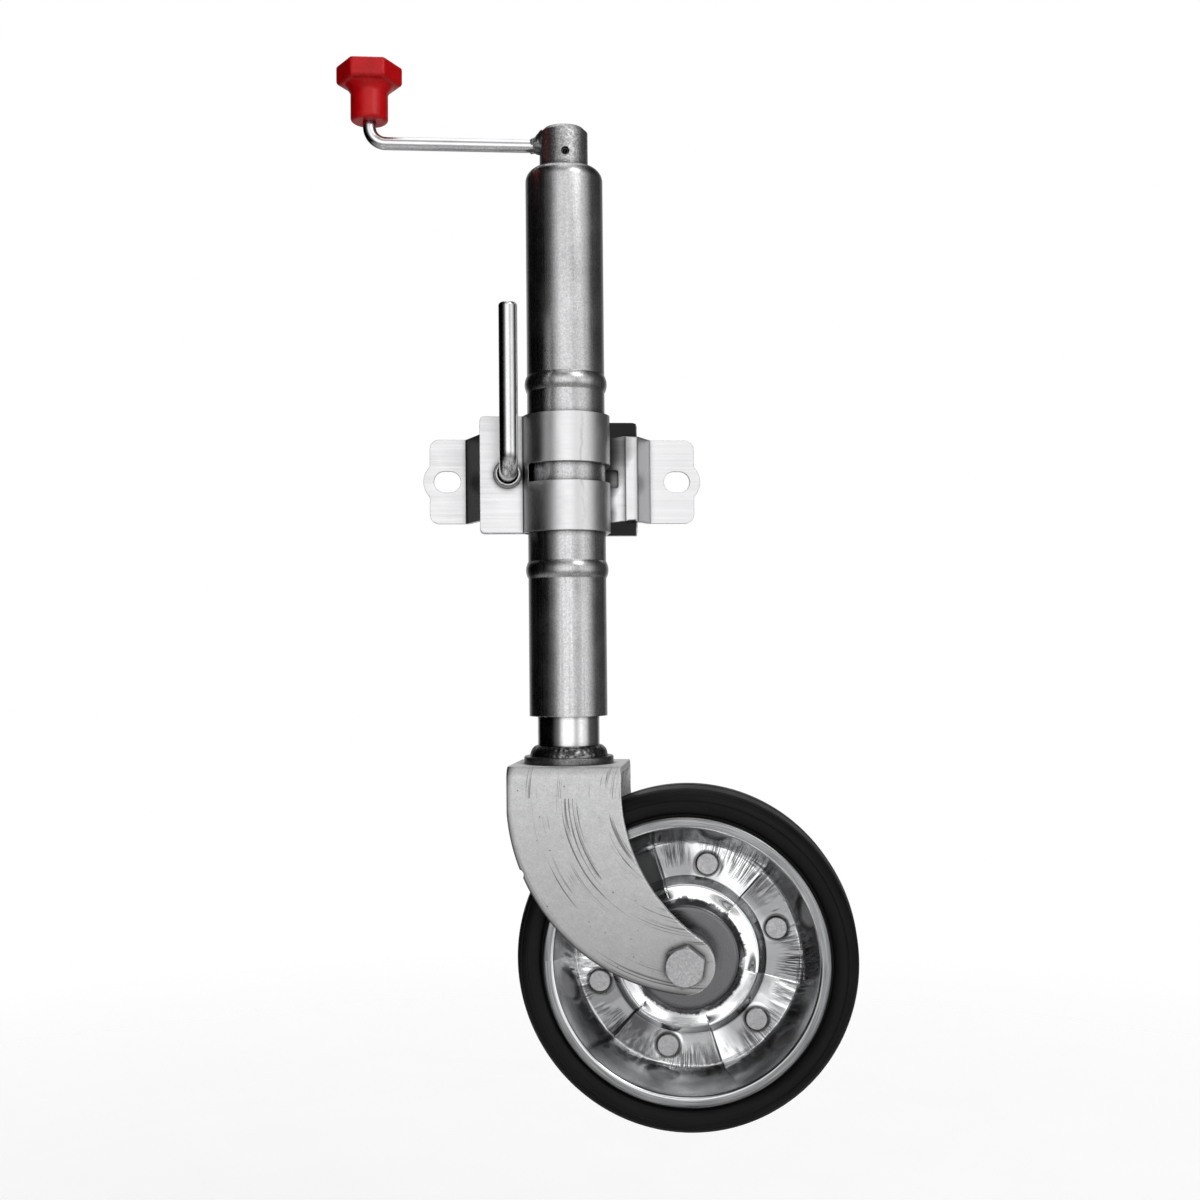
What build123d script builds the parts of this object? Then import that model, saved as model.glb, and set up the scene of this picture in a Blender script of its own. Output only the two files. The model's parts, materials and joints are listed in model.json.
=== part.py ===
from build123d import *
import os
from math import asin, cos, degrees, radians, sin

# Trailer tongue jack: a jockey wheel whose tube is held in a bolt-on clamp bracket.
#
# Millimetres, +Z up. The origin is midway between the bracket's two slots, on the face
# that bolts to the trailer. +X runs along the ears and +Y points at the trailer, so the
# tube stands on the -Y side of the ears. Heights are measured from the clamp's middle.

# ---- driving dimensions ----
FIT = 0.05  # radial clearance of every running fit
GAP = 0.15  # clearance of loose hooks and faces

PLATE = 3.0  # bracket and strap plate
TUBE_STANDOFF = 39.0  # tube axis to the trailer face
CLAMP_HEIGHT = 72.0
BEND = 2.5  # centre-line radius of the plate bends

SLOT_PITCH = 148.0
SLOT_LENGTH = 17.0
SLOT_WIDTH = 13.5
EAR_HEIGHT = 54.0
EAR_EDGE_X = 85.2
EAR_CORNER = 6.0
EAR_BULGE = 13.5  # radius of the rounded lobe outside each slot

FLANGE_EDGE_X = 53.5  # free edge of the clamp's left flanges
STRAP_FLANGE_Y = -1.5
SADDLE_FLANGE_Y = 6.5
LEVER_X = -36.5
CLAMP_THREAD = 12.0
CLAMP_PITCH = 1.75

OUTER_R = 24.0
OUTER_WALL = 2.3
OUTER_BOTTOM = -148.5
OUTER_TOP = 191.0
BEAD_HEIGHTS = (-59.0, 56.0)
BEAD_RISE = 1.5
BEAD_HALF = 5.0

INNER_R = 19.0
INNER_WALL = 2.5
INNER_TOP = 120.0
FLANGE_TOP = -173.0  # top of the disc under the inner tube
FORK_TOP = -177.5

SPINDLE_R = 9.0
SPINDLE_PITCH = 4.0
SPINDLE_BOTTOM = -100.0
COLLAR_BOTTOM = 155.0
JOURNAL_R = 7.5
HUB_R = 15.0
HUB_BOTTOM = 178.0
HUB_TOP = 216.0
PIN_Z = 198.4
PIN_R = 2.6

ARM_R = 4.0
ARM_Z = 205.5
ARM_BEND = 10.0
KNOB_X = -120.0
KNOB_BOTTOM = 218.5
KNOB_TOP = 253.0

FORK_YAW = -11.0  # the wheel trails a little towards -Y at rest
FORK_PLATE = 4.0
FORK_WIDTH = 68.0
FORK_BEND = 6.0
AXLE_X = 71.7
AXLE_Z = -293.0
AXLE_R = 7.0
NOSE_R = 17.5
SLEEVE_R = 10.0
BARREL_R = 16.0

TYRE_R = 102.0
TYRE_HALF = 26.0
LIP_R = 85.5
RIM_PLATE = 2.0
RIVET_CIRCLE = 56.0
RIVET_COUNT = 6
RIVET_START = 17.1  # degrees from the trail direction

# ---- worked-out sizes ----
OUTER_BORE = OUTER_R - OUTER_WALL
INNER_BORE = INNER_R - INNER_WALL
WRAP = OUTER_R + FIT + PLATE / 2  # centre-line radius of strap and saddle round the tube
EAR_Y = TUBE_STANDOFF - PLATE / 2
LEG_FACE = FORK_WIDTH / 2
LEG_INSIDE = LEG_FACE - FORK_PLATE


def upright(yaw):
    """Upright plane through the tube axis, facing -Y and turned by yaw degrees."""
    turn = radians(yaw)
    return Plane((0, -TUBE_STANDOFF, 0), x_dir=(cos(turn), sin(turn), 0), z_dir=(sin(turn), -cos(turn), 0))


level = Plane((0, -TUBE_STANDOFF, 0))  # seen from above, tube axis at its origin
side = upright(0)  # x to the right, y up
tube_axis = Axis((0, -TUBE_STANDOFF, 0), (0, 0, 1))
lever_side = Plane((LEVER_X, -TUBE_STANDOFF, 0), x_dir=(0, 1, 0), z_dir=(1, 0, 0))
lever_axis = Axis(lever_side.origin, (0, 1, 0))
knob_level = Plane((KNOB_X, -TUBE_STANDOFF, 0))

fork_side = upright(FORK_YAW)
fork_end = Plane(fork_side.origin, x_dir=fork_side.z_dir, z_dir=-fork_side.x_dir)  # x towards the near leg
axle_centre = fork_side.from_local_coords(Vector(AXLE_X, AXLE_Z, 0))
wheel = Plane(axle_centre, x_dir=fork_side.x_dir, z_dir=fork_side.z_dir)  # the wheel's middle plane
wheel_section = Plane(axle_centre, x_dir=(0, 0, 1), z_dir=Vector(0, 0, 1).cross(wheel.z_dir))
axle_axis = Axis(axle_centre, wheel.z_dir)


def wrap_start(flange_y):
    """Where a flange bends into the wrap: the bend's x, and the wrap's angle there from -X."""
    lift = asin((abs(flange_y) + BEND) / (WRAP + BEND))
    return -(WRAP + BEND) * cos(lift), degrees(lift)


def annulus(outer_r, inner_r):
    """Ring-shaped profile in the open sketch."""
    Circle(outer_r)
    Circle(inner_r, mode=Mode.SUBTRACT)


def zigzag(start, turns, pitch, minor_r, major_r):
    """Outline points (position, radius) of a thread drawn as rings."""
    points = []
    for turn in range(turns):
        for share, radius in ((0, minor_r), (0.25, major_r), (0.5, major_r), (0.75, minor_r)):
            points.append((start + (turn + share) * pitch, radius))
    return points


def hexagon(across_flats, turn=0):
    """Hexagon with flats facing x, turned by some degrees."""
    RegularPolygon(across_flats / 2, 6, major_radius=False, rotation=30 + turn)


def bevel_hex(plane, across_flats, height):
    """Cut the corners of the hexagon that stands on a plane, at its far end."""
    with BuildSketch(plane.offset(height)) as cone:
        Circle(across_flats / 2 * 0.98)
    extrude(cone.sketch, amount=-height, taper=-60, mode=Mode.INTERSECT)


# ---- bracket: saddle, two ears, weld beads and nut ----
SADDLE_BACK = SADDLE_FLANGE_Y + PLATE / 2
SADDLE_TAIL_X = 49.0
HOOK_X = 45.3  # the right ear's riser starts here, at its lip
RISER_X = 55.8
LIP_X = 38.9
LIP_Y = 19.25
EAR_LENGTH = 95.0

with BuildPart() as right_ear:
    with BuildSketch(level):
        with BuildLine():
            FilletPolyline(
                (LIP_X, LIP_Y),
                (HOOK_X, LIP_Y),
                (RISER_X, EAR_Y),
                (EAR_LENGTH, EAR_Y),
                radius=BEND,
            )
        trace(line_width=PLATE)
    extrude(amount=EAR_HEIGHT / 2, both=True)
    with BuildSketch(side):
        Rectangle(2 * EAR_EDGE_X, EAR_HEIGHT)
        fillet(vertices().group_by(Axis.X)[-1], EAR_CORNER)
        with Locations((SLOT_PITCH / 2 + (SLOT_LENGTH - SLOT_WIDTH) / 2, 0)):
            Circle(EAR_BULGE)
        with Locations((SLOT_PITCH / 2, 0)):
            SlotOverall(SLOT_LENGTH, SLOT_WIDTH, mode=Mode.SUBTRACT)
    extrude(amount=2 * TUBE_STANDOFF, both=True, mode=Mode.INTERSECT)

LEFT_RISER_X = -61.0
LEFT_FOOT_X = -50.5

with BuildPart() as left_ear:
    with BuildSketch(level):
        with BuildLine():
            FilletPolyline(
                (-EAR_LENGTH, EAR_Y),
                (LEFT_RISER_X, EAR_Y),
                (LEFT_FOOT_X, SADDLE_BACK),
                (LEFT_FOOT_X, 0),
                radius=BEND,
            )
        trace(line_width=PLATE)
        with Locations((LEFT_FOOT_X, 0)):
            Rectangle(EAR_HEIGHT, 2 * SADDLE_BACK, mode=Mode.SUBTRACT)
    extrude(amount=EAR_HEIGHT / 2, both=True)
    with BuildSketch(side):
        Rectangle(2 * EAR_EDGE_X, EAR_HEIGHT)
        fillet(vertices().group_by(Axis.X)[0], EAR_CORNER)
        with Locations((-SLOT_PITCH / 2 - (SLOT_LENGTH - SLOT_WIDTH) / 2, 0)):
            Circle(EAR_BULGE)
        with Locations((-SLOT_PITCH / 2, 0)):
            SlotOverall(SLOT_LENGTH, SLOT_WIDTH, mode=Mode.SUBTRACT)
    extrude(amount=2 * TUBE_STANDOFF, both=True, mode=Mode.INTERSECT)

saddle_bend_x, saddle_lift = wrap_start(SADDLE_FLANGE_Y)

with BuildPart() as back_saddle:
    with BuildSketch(level):
        with BuildLine():
            flange = Line((-FLANGE_EDGE_X, SADDLE_FLANGE_Y), (saddle_bend_x, SADDLE_FLANGE_Y))
            bend = JernArc(flange @ 1, flange % 1, BEND, 90 - saddle_lift)
            wrap = JernArc(bend @ 1, bend % 1, WRAP, saddle_lift - 90)
            Line(wrap @ 1, (SADDLE_TAIL_X, WRAP))
        trace(line_width=PLATE)
    extrude(amount=CLAMP_HEIGHT / 2, both=True)
    fillet(back_saddle.edges().filter_by(Axis.Y).group_by(Axis.X)[0], 3)
    with BuildSketch(side):
        with Locations((HOOK_X + 26, 0)):
            Rectangle(50, 2 * CLAMP_HEIGHT)
        with Locations((HOOK_X, 0)):
            Rectangle(SADDLE_TAIL_X, EAR_HEIGHT, mode=Mode.SUBTRACT)
        with Locations((LEVER_X, 0)):
            Circle(CLAMP_THREAD / 2 + 0.5)
    extrude(amount=2 * TUBE_STANDOFF, both=True, mode=Mode.SUBTRACT)
    add(right_ear.part, mode=Mode.SUBTRACT)

WELD_LEG = 4.5
WELD_LENGTH = 13.0
WELD_LEAN = 2.7  # the left riser leans out above its foot

with BuildPart() as ear_welds:
    with BuildSketch(level.offset(-EAR_HEIGHT / 2), level.offset(EAR_HEIGHT / 2 - WELD_LENGTH)):
        with BuildLine():
            Polyline(
                (LEFT_FOOT_X, SADDLE_BACK),
                (LEFT_FOOT_X + PLATE / 2 + WELD_LEG, SADDLE_BACK),
                (LEFT_FOOT_X - WELD_LEAN, SADDLE_BACK + PLATE + WELD_LEG),
                close=True,
            )
        make_face()
        with BuildLine():
            Polyline(
                (HOOK_X - 1, WRAP + PLATE / 2),
                (HOOK_X + 5, WRAP + PLATE / 2),
                (HOOK_X + 6, WRAP + PLATE / 2 + WELD_LEG),
                close=True,
            )
        make_face()
    extrude(amount=WELD_LENGTH)
    add(left_ear.part, mode=Mode.SUBTRACT)
    add(right_ear.part, mode=Mode.SUBTRACT)

CLAMP_NUT_FLATS = 18.0
CLAMP_NUT_HEIGHT = 10.0
nut_seat = Plane(side.origin + Vector(LEVER_X, SADDLE_BACK, 0), x_dir=(-1, 0, 0), z_dir=(0, 1, 0))

with BuildPart() as clamp_nut:
    with BuildSketch(nut_seat):
        hexagon(CLAMP_NUT_FLATS)
    extrude(amount=CLAMP_NUT_HEIGHT)
    bevel_hex(nut_seat, CLAMP_NUT_FLATS, CLAMP_NUT_HEIGHT)
    with BuildSketch(nut_seat):
        Circle(CLAMP_THREAD / 2 + FIT)
    extrude(amount=CLAMP_NUT_HEIGHT, mode=Mode.SUBTRACT)

# ---- front strap: left flange, wrap with a window, tail hooked behind the right lip ----
HOOK_Y = WRAP - PLATE - GAP  # the tail lies between the lip and the saddle
TAIL_X = 46.5
TAIL_SHORT_X = 43.0  # behind the lip the tail stops before the riser
WINDOW_HEIGHT = 11.4
WINDOW_LEFT = -24.0
WINDOW_RIGHT = 34.4
strap_bend_x, strap_lift = wrap_start(STRAP_FLANGE_Y)

with BuildPart() as front_strap:
    with BuildSketch(level):
        with BuildLine():
            flange = Line((-FLANGE_EDGE_X, STRAP_FLANGE_Y), (strap_bend_x, STRAP_FLANGE_Y))
            bend = JernArc(flange @ 1, flange % 1, BEND, strap_lift - 90)
            wrap = JernArc(bend @ 1, bend % 1, WRAP, 180 - strap_lift)
            back = Line(wrap @ 1, (WRAP, HOOK_Y - BEND))
            turn = JernArc(back @ 1, back % 1, BEND, -90)
            Line(turn @ 1, (TAIL_X, HOOK_Y))
        trace(line_width=PLATE)
    extrude(amount=CLAMP_HEIGHT / 2, both=True)
    fillet(front_strap.edges().filter_by(Axis.Y).group_by(Axis.X)[0], 3)
    fillet(front_strap.edges().filter_by(Axis.Y).group_by(Axis.X)[-1], 3)
    with BuildSketch(side):
        with Locations(((WINDOW_LEFT + WINDOW_RIGHT) / 2, 0)):
            RectangleRounded(WINDOW_RIGHT - WINDOW_LEFT, WINDOW_HEIGHT, 1.5)
        with Locations((LEVER_X, 0)):
            SlotOverall(SLOT_LENGTH, SLOT_WIDTH)
        with Locations((TAIL_SHORT_X + 10, 0)):
            Rectangle(20, EAR_HEIGHT + 1)
    extrude(amount=TUBE_STANDOFF, both=True, mode=Mode.SUBTRACT)

# ---- clamp lever and its washer ----
WASHER_R = 8.7
WASHER_THICK = 3.0
COLLAR_R = 7.4
COLLAR_THICK = 4.0
LEVER_R = 5.6
LEVER_FRONT_Y = -35.0
LEVER_BEND = 12.0
LEVER_TOP = 99.0
SHANK_END = 21.0
CLAMP_TURNS = 14
CLAMP_MINOR_R = 5.1
strap_front_y = STRAP_FLANGE_Y - PLATE / 2
washer_front_y = strap_front_y - WASHER_THICK
washer_seat = Plane(side.origin + Vector(LEVER_X, strap_front_y, 0), x_dir=(1, 0, 0), z_dir=(0, -1, 0))

with BuildPart() as clamp_washer:
    with BuildSketch(washer_seat.offset(FIT)):
        annulus(WASHER_R, CLAMP_THREAD / 2 + 0.5)
    extrude(amount=WASHER_THICK - FIT)
    chamfer(clamp_washer.edges().filter_by(GeomType.CIRCLE).group_by(Axis.Y)[0], 0.5)

with BuildPart() as lever_collar:
    with BuildSketch(washer_seat.offset(WASHER_THICK + FIT)):
        annulus(COLLAR_R, LEVER_R)
    extrude(amount=COLLAR_THICK)
    chamfer(lever_collar.edges().filter_by(GeomType.CIRCLE).group_by(Axis.Y)[0][-1], 1)

with BuildPart() as clamp_lever:
    with BuildLine(lever_side) as lever_path:
        FilletPolyline(
            (washer_front_y, 0),
            (LEVER_FRONT_Y, 0),
            (LEVER_FRONT_Y, LEVER_TOP),
            radius=LEVER_BEND,
        )
    with BuildSketch(Plane(lever_path.line @ 0, z_dir=lever_path.line % 0)):
        Circle(LEVER_R)
    sweep(path=lever_path.line)
    fillet(clamp_lever.edges().group_by(Axis.Z)[-1], 2)
    with BuildSketch(lever_side):
        with BuildLine():
            thread = zigzag(
                SHANK_END - CLAMP_TURNS * CLAMP_PITCH,
                CLAMP_TURNS,
                CLAMP_PITCH,
                CLAMP_MINOR_R,
                CLAMP_THREAD / 2,
            )
            Polyline(
                (washer_front_y, 0),
                (washer_front_y, CLAMP_MINOR_R),
                *thread,
                (SHANK_END, CLAMP_MINOR_R),
                (SHANK_END, 0),
                close=True,
            )
        make_face()
    revolve(axis=lever_axis)

# ---- outer tube ----
SHOULDER_R = 8.3
SHOULDER_HOLE_R = HUB_R + 0.7
wall_r = OUTER_R - OUTER_WALL / 2

with BuildPart() as outer_tube:
    with BuildSketch(side):
        with BuildLine():
            foot = (wall_r, OUTER_BOTTOM)
            for height in BEAD_HEIGHTS:
                Line(foot, (wall_r, height - BEAD_HALF))
                ThreePointArc(
                    (wall_r, height - BEAD_HALF),
                    (wall_r + BEAD_RISE, height),
                    (wall_r, height + BEAD_HALF),
                )
                foot = (wall_r, height + BEAD_HALF)
            upper = Line(foot, (wall_r, OUTER_TOP - SHOULDER_R))
            roll = JernArc(upper @ 1, upper % 1, SHOULDER_R - OUTER_WALL / 2, 90)
            Line(roll @ 1, (SHOULDER_HOLE_R, OUTER_TOP - OUTER_WALL / 2))
        trace(line_width=OUTER_WALL)
    revolve(axis=tube_axis)

# ---- thrust bearing, its seat and bush, inside the tube's top ----
RACE_R = 16.0
RACE_THICK = 3.0
BALL_R = 2.5
BALL_CIRCLE = 12.0
BALL_COUNT = 12
COLLAR_TOP = 160.0
upper_race_z = COLLAR_TOP + 2 * RACE_THICK
seat_z = upper_race_z + RACE_THICK
SEAT_THICK = 6.0
BUSH_R = 10.0
BUSH_FLANGE = 2.0
BUSH_FLANGE_R = 13.0
ball_z = COLLAR_TOP + 1.5 * RACE_THICK

with BuildPart() as thrust_race_lower:
    with BuildSketch(side):
        with Locations((JOURNAL_R, COLLAR_TOP)):
            Rectangle(RACE_R - JOURNAL_R, RACE_THICK, align=Align.MIN)
        with Locations((BALL_CIRCLE, ball_z)):
            Circle(BALL_R + FIT, mode=Mode.SUBTRACT)
    revolve(axis=tube_axis)

with BuildPart() as thrust_race_upper:
    with BuildSketch(side):
        with Locations((JOURNAL_R + 0.5, upper_race_z)):
            Rectangle(RACE_R - JOURNAL_R - 0.5, RACE_THICK, align=Align.MIN)
        with Locations((BALL_CIRCLE, ball_z)):
            Circle(BALL_R + FIT, mode=Mode.SUBTRACT)
    revolve(axis=tube_axis)

with BuildPart() as thrust_balls:
    with Locations(level.offset(ball_z)):
        with PolarLocations(BALL_CIRCLE, BALL_COUNT):
            Sphere(BALL_R)

with BuildPart() as top_seat:
    with BuildSketch(level.offset(seat_z)):
        annulus(OUTER_BORE, BUSH_R)
    extrude(amount=SEAT_THICK)

with BuildPart() as top_bush:
    with BuildSketch(level.offset(seat_z)):
        annulus(BUSH_R, JOURNAL_R + FIT)
    extrude(amount=SEAT_THICK + BUSH_FLANGE)
    with BuildSketch(level.offset(seat_z + SEAT_THICK)):
        annulus(BUSH_FLANGE_R, JOURNAL_R + FIT)
    extrude(amount=BUSH_FLANGE)

GUIDE_BUSH_START = OUTER_BOTTOM + 1.5
GUIDE_BUSH_LENGTH = 20.0

with BuildPart() as lower_guide_bush:
    with BuildSketch(level.offset(GUIDE_BUSH_START)):
        annulus(OUTER_BORE, INNER_R + FIT)
    extrude(amount=GUIDE_BUSH_LENGTH)

# ---- crank: spindle, hub with its pin, arm, knob ----
SPINDLE_TOP = 214.5
THREAD_MINOR_R = 6.75
SPINDLE_COLLAR_R = 13.0
HUB_WASHER_THICK = 1.0
HUB_CHAMFER = 2.5
spindle_turns = int((COLLAR_BOTTOM - SPINDLE_BOTTOM) / SPINDLE_PITCH)

with BuildPart() as spindle:
    with BuildSketch(side):
        with BuildLine():
            thread = zigzag(SPINDLE_BOTTOM, spindle_turns, SPINDLE_PITCH, THREAD_MINOR_R, SPINDLE_R)
            Polyline(
                (0, SPINDLE_BOTTOM),
                *[(radius, height) for height, radius in thread],
                (THREAD_MINOR_R, COLLAR_BOTTOM),
                (SPINDLE_COLLAR_R, COLLAR_BOTTOM),
                (SPINDLE_COLLAR_R, COLLAR_TOP),
                (JOURNAL_R, COLLAR_TOP),
                (JOURNAL_R, SPINDLE_TOP - 1),
                (JOURNAL_R - 1, SPINDLE_TOP),
                (0, SPINDLE_TOP),
                close=True,
            )
        make_face()
    revolve(axis=tube_axis)
    with BuildSketch(side):
        with Locations((0, PIN_Z)):
            Circle(PIN_R)
    extrude(amount=HUB_R, both=True, mode=Mode.SUBTRACT)

with BuildPart() as crank_hub:
    with BuildSketch(level.offset(HUB_BOTTOM)):
        annulus(HUB_R, JOURNAL_R)
    extrude(amount=HUB_TOP - HUB_BOTTOM)
    rims = crank_hub.edges().filter_by(GeomType.CIRCLE).group_by(Axis.Z)[-1]
    chamfer(rims.sort_by(SortBy.RADIUS)[-1], HUB_CHAMFER)
    with BuildSketch(side):
        with Locations((0, PIN_Z)):
            Circle(PIN_R)
    extrude(amount=2 * HUB_R, both=True, mode=Mode.SUBTRACT)

with BuildPart() as hub_pin:
    with BuildSketch(side):
        with Locations((0, PIN_Z)):
            annulus(PIN_R, PIN_R - 1)
            Rectangle(1, 2 * PIN_R, align=(Align.CENTER, Align.MAX), mode=Mode.SUBTRACT)
    extrude(amount=HUB_R - 2, both=True)

with BuildPart() as hub_washer:
    with BuildSketch(level.offset(HUB_BOTTOM - HUB_WASHER_THICK + FIT)):
        annulus(BUSH_FLANGE_R, JOURNAL_R)
    extrude(amount=HUB_WASHER_THICK - FIT)

ARM_TOP = 246.0

with BuildPart() as crank_arm:
    with BuildLine(side) as arm_path:
        FilletPolyline((0, ARM_Z), (KNOB_X, ARM_Z), (KNOB_X, ARM_TOP), radius=ARM_BEND)
    with BuildSketch(Plane(arm_path.line @ 0, z_dir=arm_path.line % 0)):
        Circle(ARM_R)
    sweep(path=arm_path.line)
    with BuildSketch(level.offset(HUB_BOTTOM)):
        Circle(HUB_R)
    extrude(amount=HUB_TOP, mode=Mode.SUBTRACT)

WELD_BEAD = 3.5
WELD_FOOT_X = -HUB_R - 6.5  # the bead's tail on top of the arm
WELD_HALF_WIDTH = 3.0
arm_top_z = ARM_Z + ARM_R

with BuildPart() as crank_weld:
    with BuildSketch(side):
        with BuildLine():
            tail = ThreePointArc(
                (WELD_FOOT_X, arm_top_z - 1),
                (-HUB_R - 2.6, arm_top_z + 1.2),
                (-HUB_R, HUB_TOP - HUB_CHAMFER),
            )
            Polyline(
                tail @ 1,
                (-HUB_R + 2, HUB_TOP - HUB_CHAMFER),
                (-HUB_R + 2, ARM_Z),
                (WELD_FOOT_X, ARM_Z),
                tail @ 0,
            )
        make_face()
    extrude(amount=WELD_HALF_WIDTH, both=True)
    fillet(crank_weld.faces().filter_by(GeomType.CYLINDER).edges().filter_by(GeomType.CIRCLE), 1.5)
    with BuildSketch(side):
        with BuildLine():
            bead = ThreePointArc(
                (-HUB_R - 1.4 * WELD_BEAD, arm_top_z),
                (-HUB_R - 0.8 * WELD_BEAD, arm_top_z + 0.8 * WELD_BEAD),
                (-HUB_R + 1, arm_top_z + WELD_BEAD),
            )
            Polyline(bead @ 1, (-HUB_R + 1, ARM_Z), (-HUB_R - 1.4 * WELD_BEAD, ARM_Z), bead @ 0)
        make_face()
    revolve(axis=Axis((0, -TUBE_STANDOFF, ARM_Z), (1, 0, 0)))
    with BuildSketch(level.offset(HUB_BOTTOM)):
        Circle(HUB_R)
    extrude(amount=HUB_TOP - HUB_BOTTOM, mode=Mode.SUBTRACT)
    add(crank_arm.part, mode=Mode.SUBTRACT)

KNOB_STEM_R = 11.5
KNOB_CORNER_R = 20.5
STEM_TOP = 236.0
HEAD_BOTTOM = 241.0
PUSH_NUT_Z = 243.5
KNOB_POCKET_R = 10.0
KNOB_ROUND = 2.5
STEM_ROUND = 2.0
PUSH_NUT_R = 8.0
PUSH_NUT_THICK = 1.5
CAP_THICK = 4.0

with BuildPart() as knob:
    with BuildSketch(knob_level.offset(HEAD_BOTTOM)):
        RegularPolygon(KNOB_CORNER_R, 6)
        fillet(vertices(), KNOB_ROUND)
    extrude(amount=KNOB_TOP - HEAD_BOTTOM)
    fillet(knob.faces().sort_by(Axis.Z)[0].edges(), KNOB_ROUND)
    fillet(knob.faces().sort_by(Axis.Z)[-1].edges(), 1.5)
    with BuildSketch(Plane(knob_level.origin, x_dir=(1, 0, 0), z_dir=(0, -1, 0))):
        with BuildLine():
            foot = Line((0, KNOB_BOTTOM), (KNOB_STEM_R - STEM_ROUND, KNOB_BOTTOM))
            stem = JernArc(foot @ 1, foot % 1, STEM_ROUND, 90)
            Polyline(
                stem @ 1,
                (KNOB_STEM_R, STEM_TOP),
                (KNOB_STEM_R + 4, HEAD_BOTTOM + 1),
                (0, HEAD_BOTTOM + 1),
                foot @ 0,
            )
        make_face()
    revolve(axis=Axis(knob_level.origin, (0, 0, 1)))
    with BuildSketch(knob_level.offset(KNOB_BOTTOM)):
        Circle(ARM_R + FIT)
    extrude(amount=KNOB_TOP - KNOB_BOTTOM, mode=Mode.SUBTRACT)
    with BuildSketch(knob_level.offset(PUSH_NUT_Z - GAP)):
        Circle(KNOB_POCKET_R)
    extrude(amount=KNOB_TOP, mode=Mode.SUBTRACT)

with BuildPart() as knob_cap:
    with BuildSketch(knob_level.offset(KNOB_TOP - CAP_THICK)):
        Circle(KNOB_POCKET_R)
    extrude(amount=CAP_THICK)
    fillet(knob_cap.edges().group_by(Axis.Z)[-1], 0.6)

with BuildPart() as knob_push_nut:
    with BuildSketch(knob_level.offset(PUSH_NUT_Z)):
        annulus(PUSH_NUT_R, ARM_R)
    extrude(amount=PUSH_NUT_THICK)

# ---- inner leg: tube, guide ring, nut, disc and fork ----
NUT_BOTTOM = 84.0
NUT_RIVET_Z = 90.0
NUT_FLANGE_THICK = 4.0
CLIP_Z = 98.0
CLIP_THICK = 1.5
NUT_RIVET_R = 2.5
NUT_RIVET_HEAD_R = 4.0
NUT_RIVET_DEPTH = 12.0  # inner end of each rivet, from the tube's axis
rivet_height = Vector(0, -TUBE_STANDOFF, NUT_RIVET_Z)
nut_rivet_planes = [
    Plane(rivet_height, z_dir=(cos(radians(turn)), sin(radians(turn)), 0)) for turn in (30, 150, 270)
]

with BuildPart() as inner_tube:
    with BuildSketch(level.offset(FLANGE_TOP)):
        annulus(INNER_R, INNER_BORE)
    extrude(amount=INNER_TOP - FLANGE_TOP)
    for plane in nut_rivet_planes:
        with BuildSketch(plane):
            Circle(NUT_RIVET_R)
        extrude(amount=OUTER_R, mode=Mode.SUBTRACT)

with BuildPart() as spindle_nut:
    with BuildSketch(level.offset(NUT_BOTTOM)):
        annulus(INNER_BORE, SPINDLE_R + FIT)
    extrude(amount=INNER_TOP - NUT_BOTTOM)
    with BuildSketch(level.offset(INNER_TOP)):
        annulus(INNER_R + 1.5, SPINDLE_R + FIT)
    extrude(amount=NUT_FLANGE_THICK)
    for plane in nut_rivet_planes:
        with BuildSketch(plane.offset(NUT_RIVET_DEPTH)):
            Circle(NUT_RIVET_R)
        extrude(amount=OUTER_R, mode=Mode.SUBTRACT)

with BuildPart() as nut_rivets:
    for plane in nut_rivet_planes:
        with BuildSketch(plane.offset(NUT_RIVET_DEPTH)):
            Circle(NUT_RIVET_R)
        extrude(amount=INNER_R + 0.5 - NUT_RIVET_DEPTH)
        with BuildSketch(plane.offset(INNER_R - 1)):
            Circle(NUT_RIVET_HEAD_R)
        extrude(amount=2.2, taper=15)
    add(inner_tube.part, mode=Mode.SUBTRACT)

with BuildPart() as inner_guide_ring:
    with BuildSketch(level.offset(CLIP_Z + CLIP_THICK + GAP)):
        annulus(OUTER_BORE - FIT, INNER_R + FIT)
    extrude(amount=INNER_TOP - CLIP_Z - CLIP_THICK - 2 * GAP)

with BuildPart() as guide_ring_clip:
    with BuildSketch(level.offset(CLIP_Z)):
        annulus(INNER_R + 1.8, INNER_R)
        Rectangle(OUTER_R, 4, align=(Align.MIN, Align.CENTER), mode=Mode.SUBTRACT)
    extrude(amount=CLIP_THICK)

FLANGE_R = 27.5
BEAD_LEG = 5.2
BEAD_HEIGHT = 7.0
BEAD_BULGE = 0.62  # share of the bead's leg and height at its middle

with BuildPart() as tube_weld:
    with BuildSketch(side):
        with BuildLine():
            foot = Polyline(
                (INNER_R, FLANGE_TOP + BEAD_HEIGHT),
                (INNER_R, FLANGE_TOP),
                (INNER_R + BEAD_LEG, FLANGE_TOP),
            )
            ThreePointArc(
                foot @ 1,
                (INNER_R + BEAD_BULGE * BEAD_LEG, FLANGE_TOP + BEAD_BULGE * BEAD_HEIGHT),
                foot @ 0,
            )
        make_face()
    revolve(axis=tube_axis)

with BuildPart() as swivel_flange:
    with BuildSketch(level.offset(FORK_TOP)):
        Circle(FLANGE_R)
    extrude(amount=FLANGE_TOP - FORK_TOP)
    chamfer(swivel_flange.edges().group_by(Axis.Z)[-1], 0.6)

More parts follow.
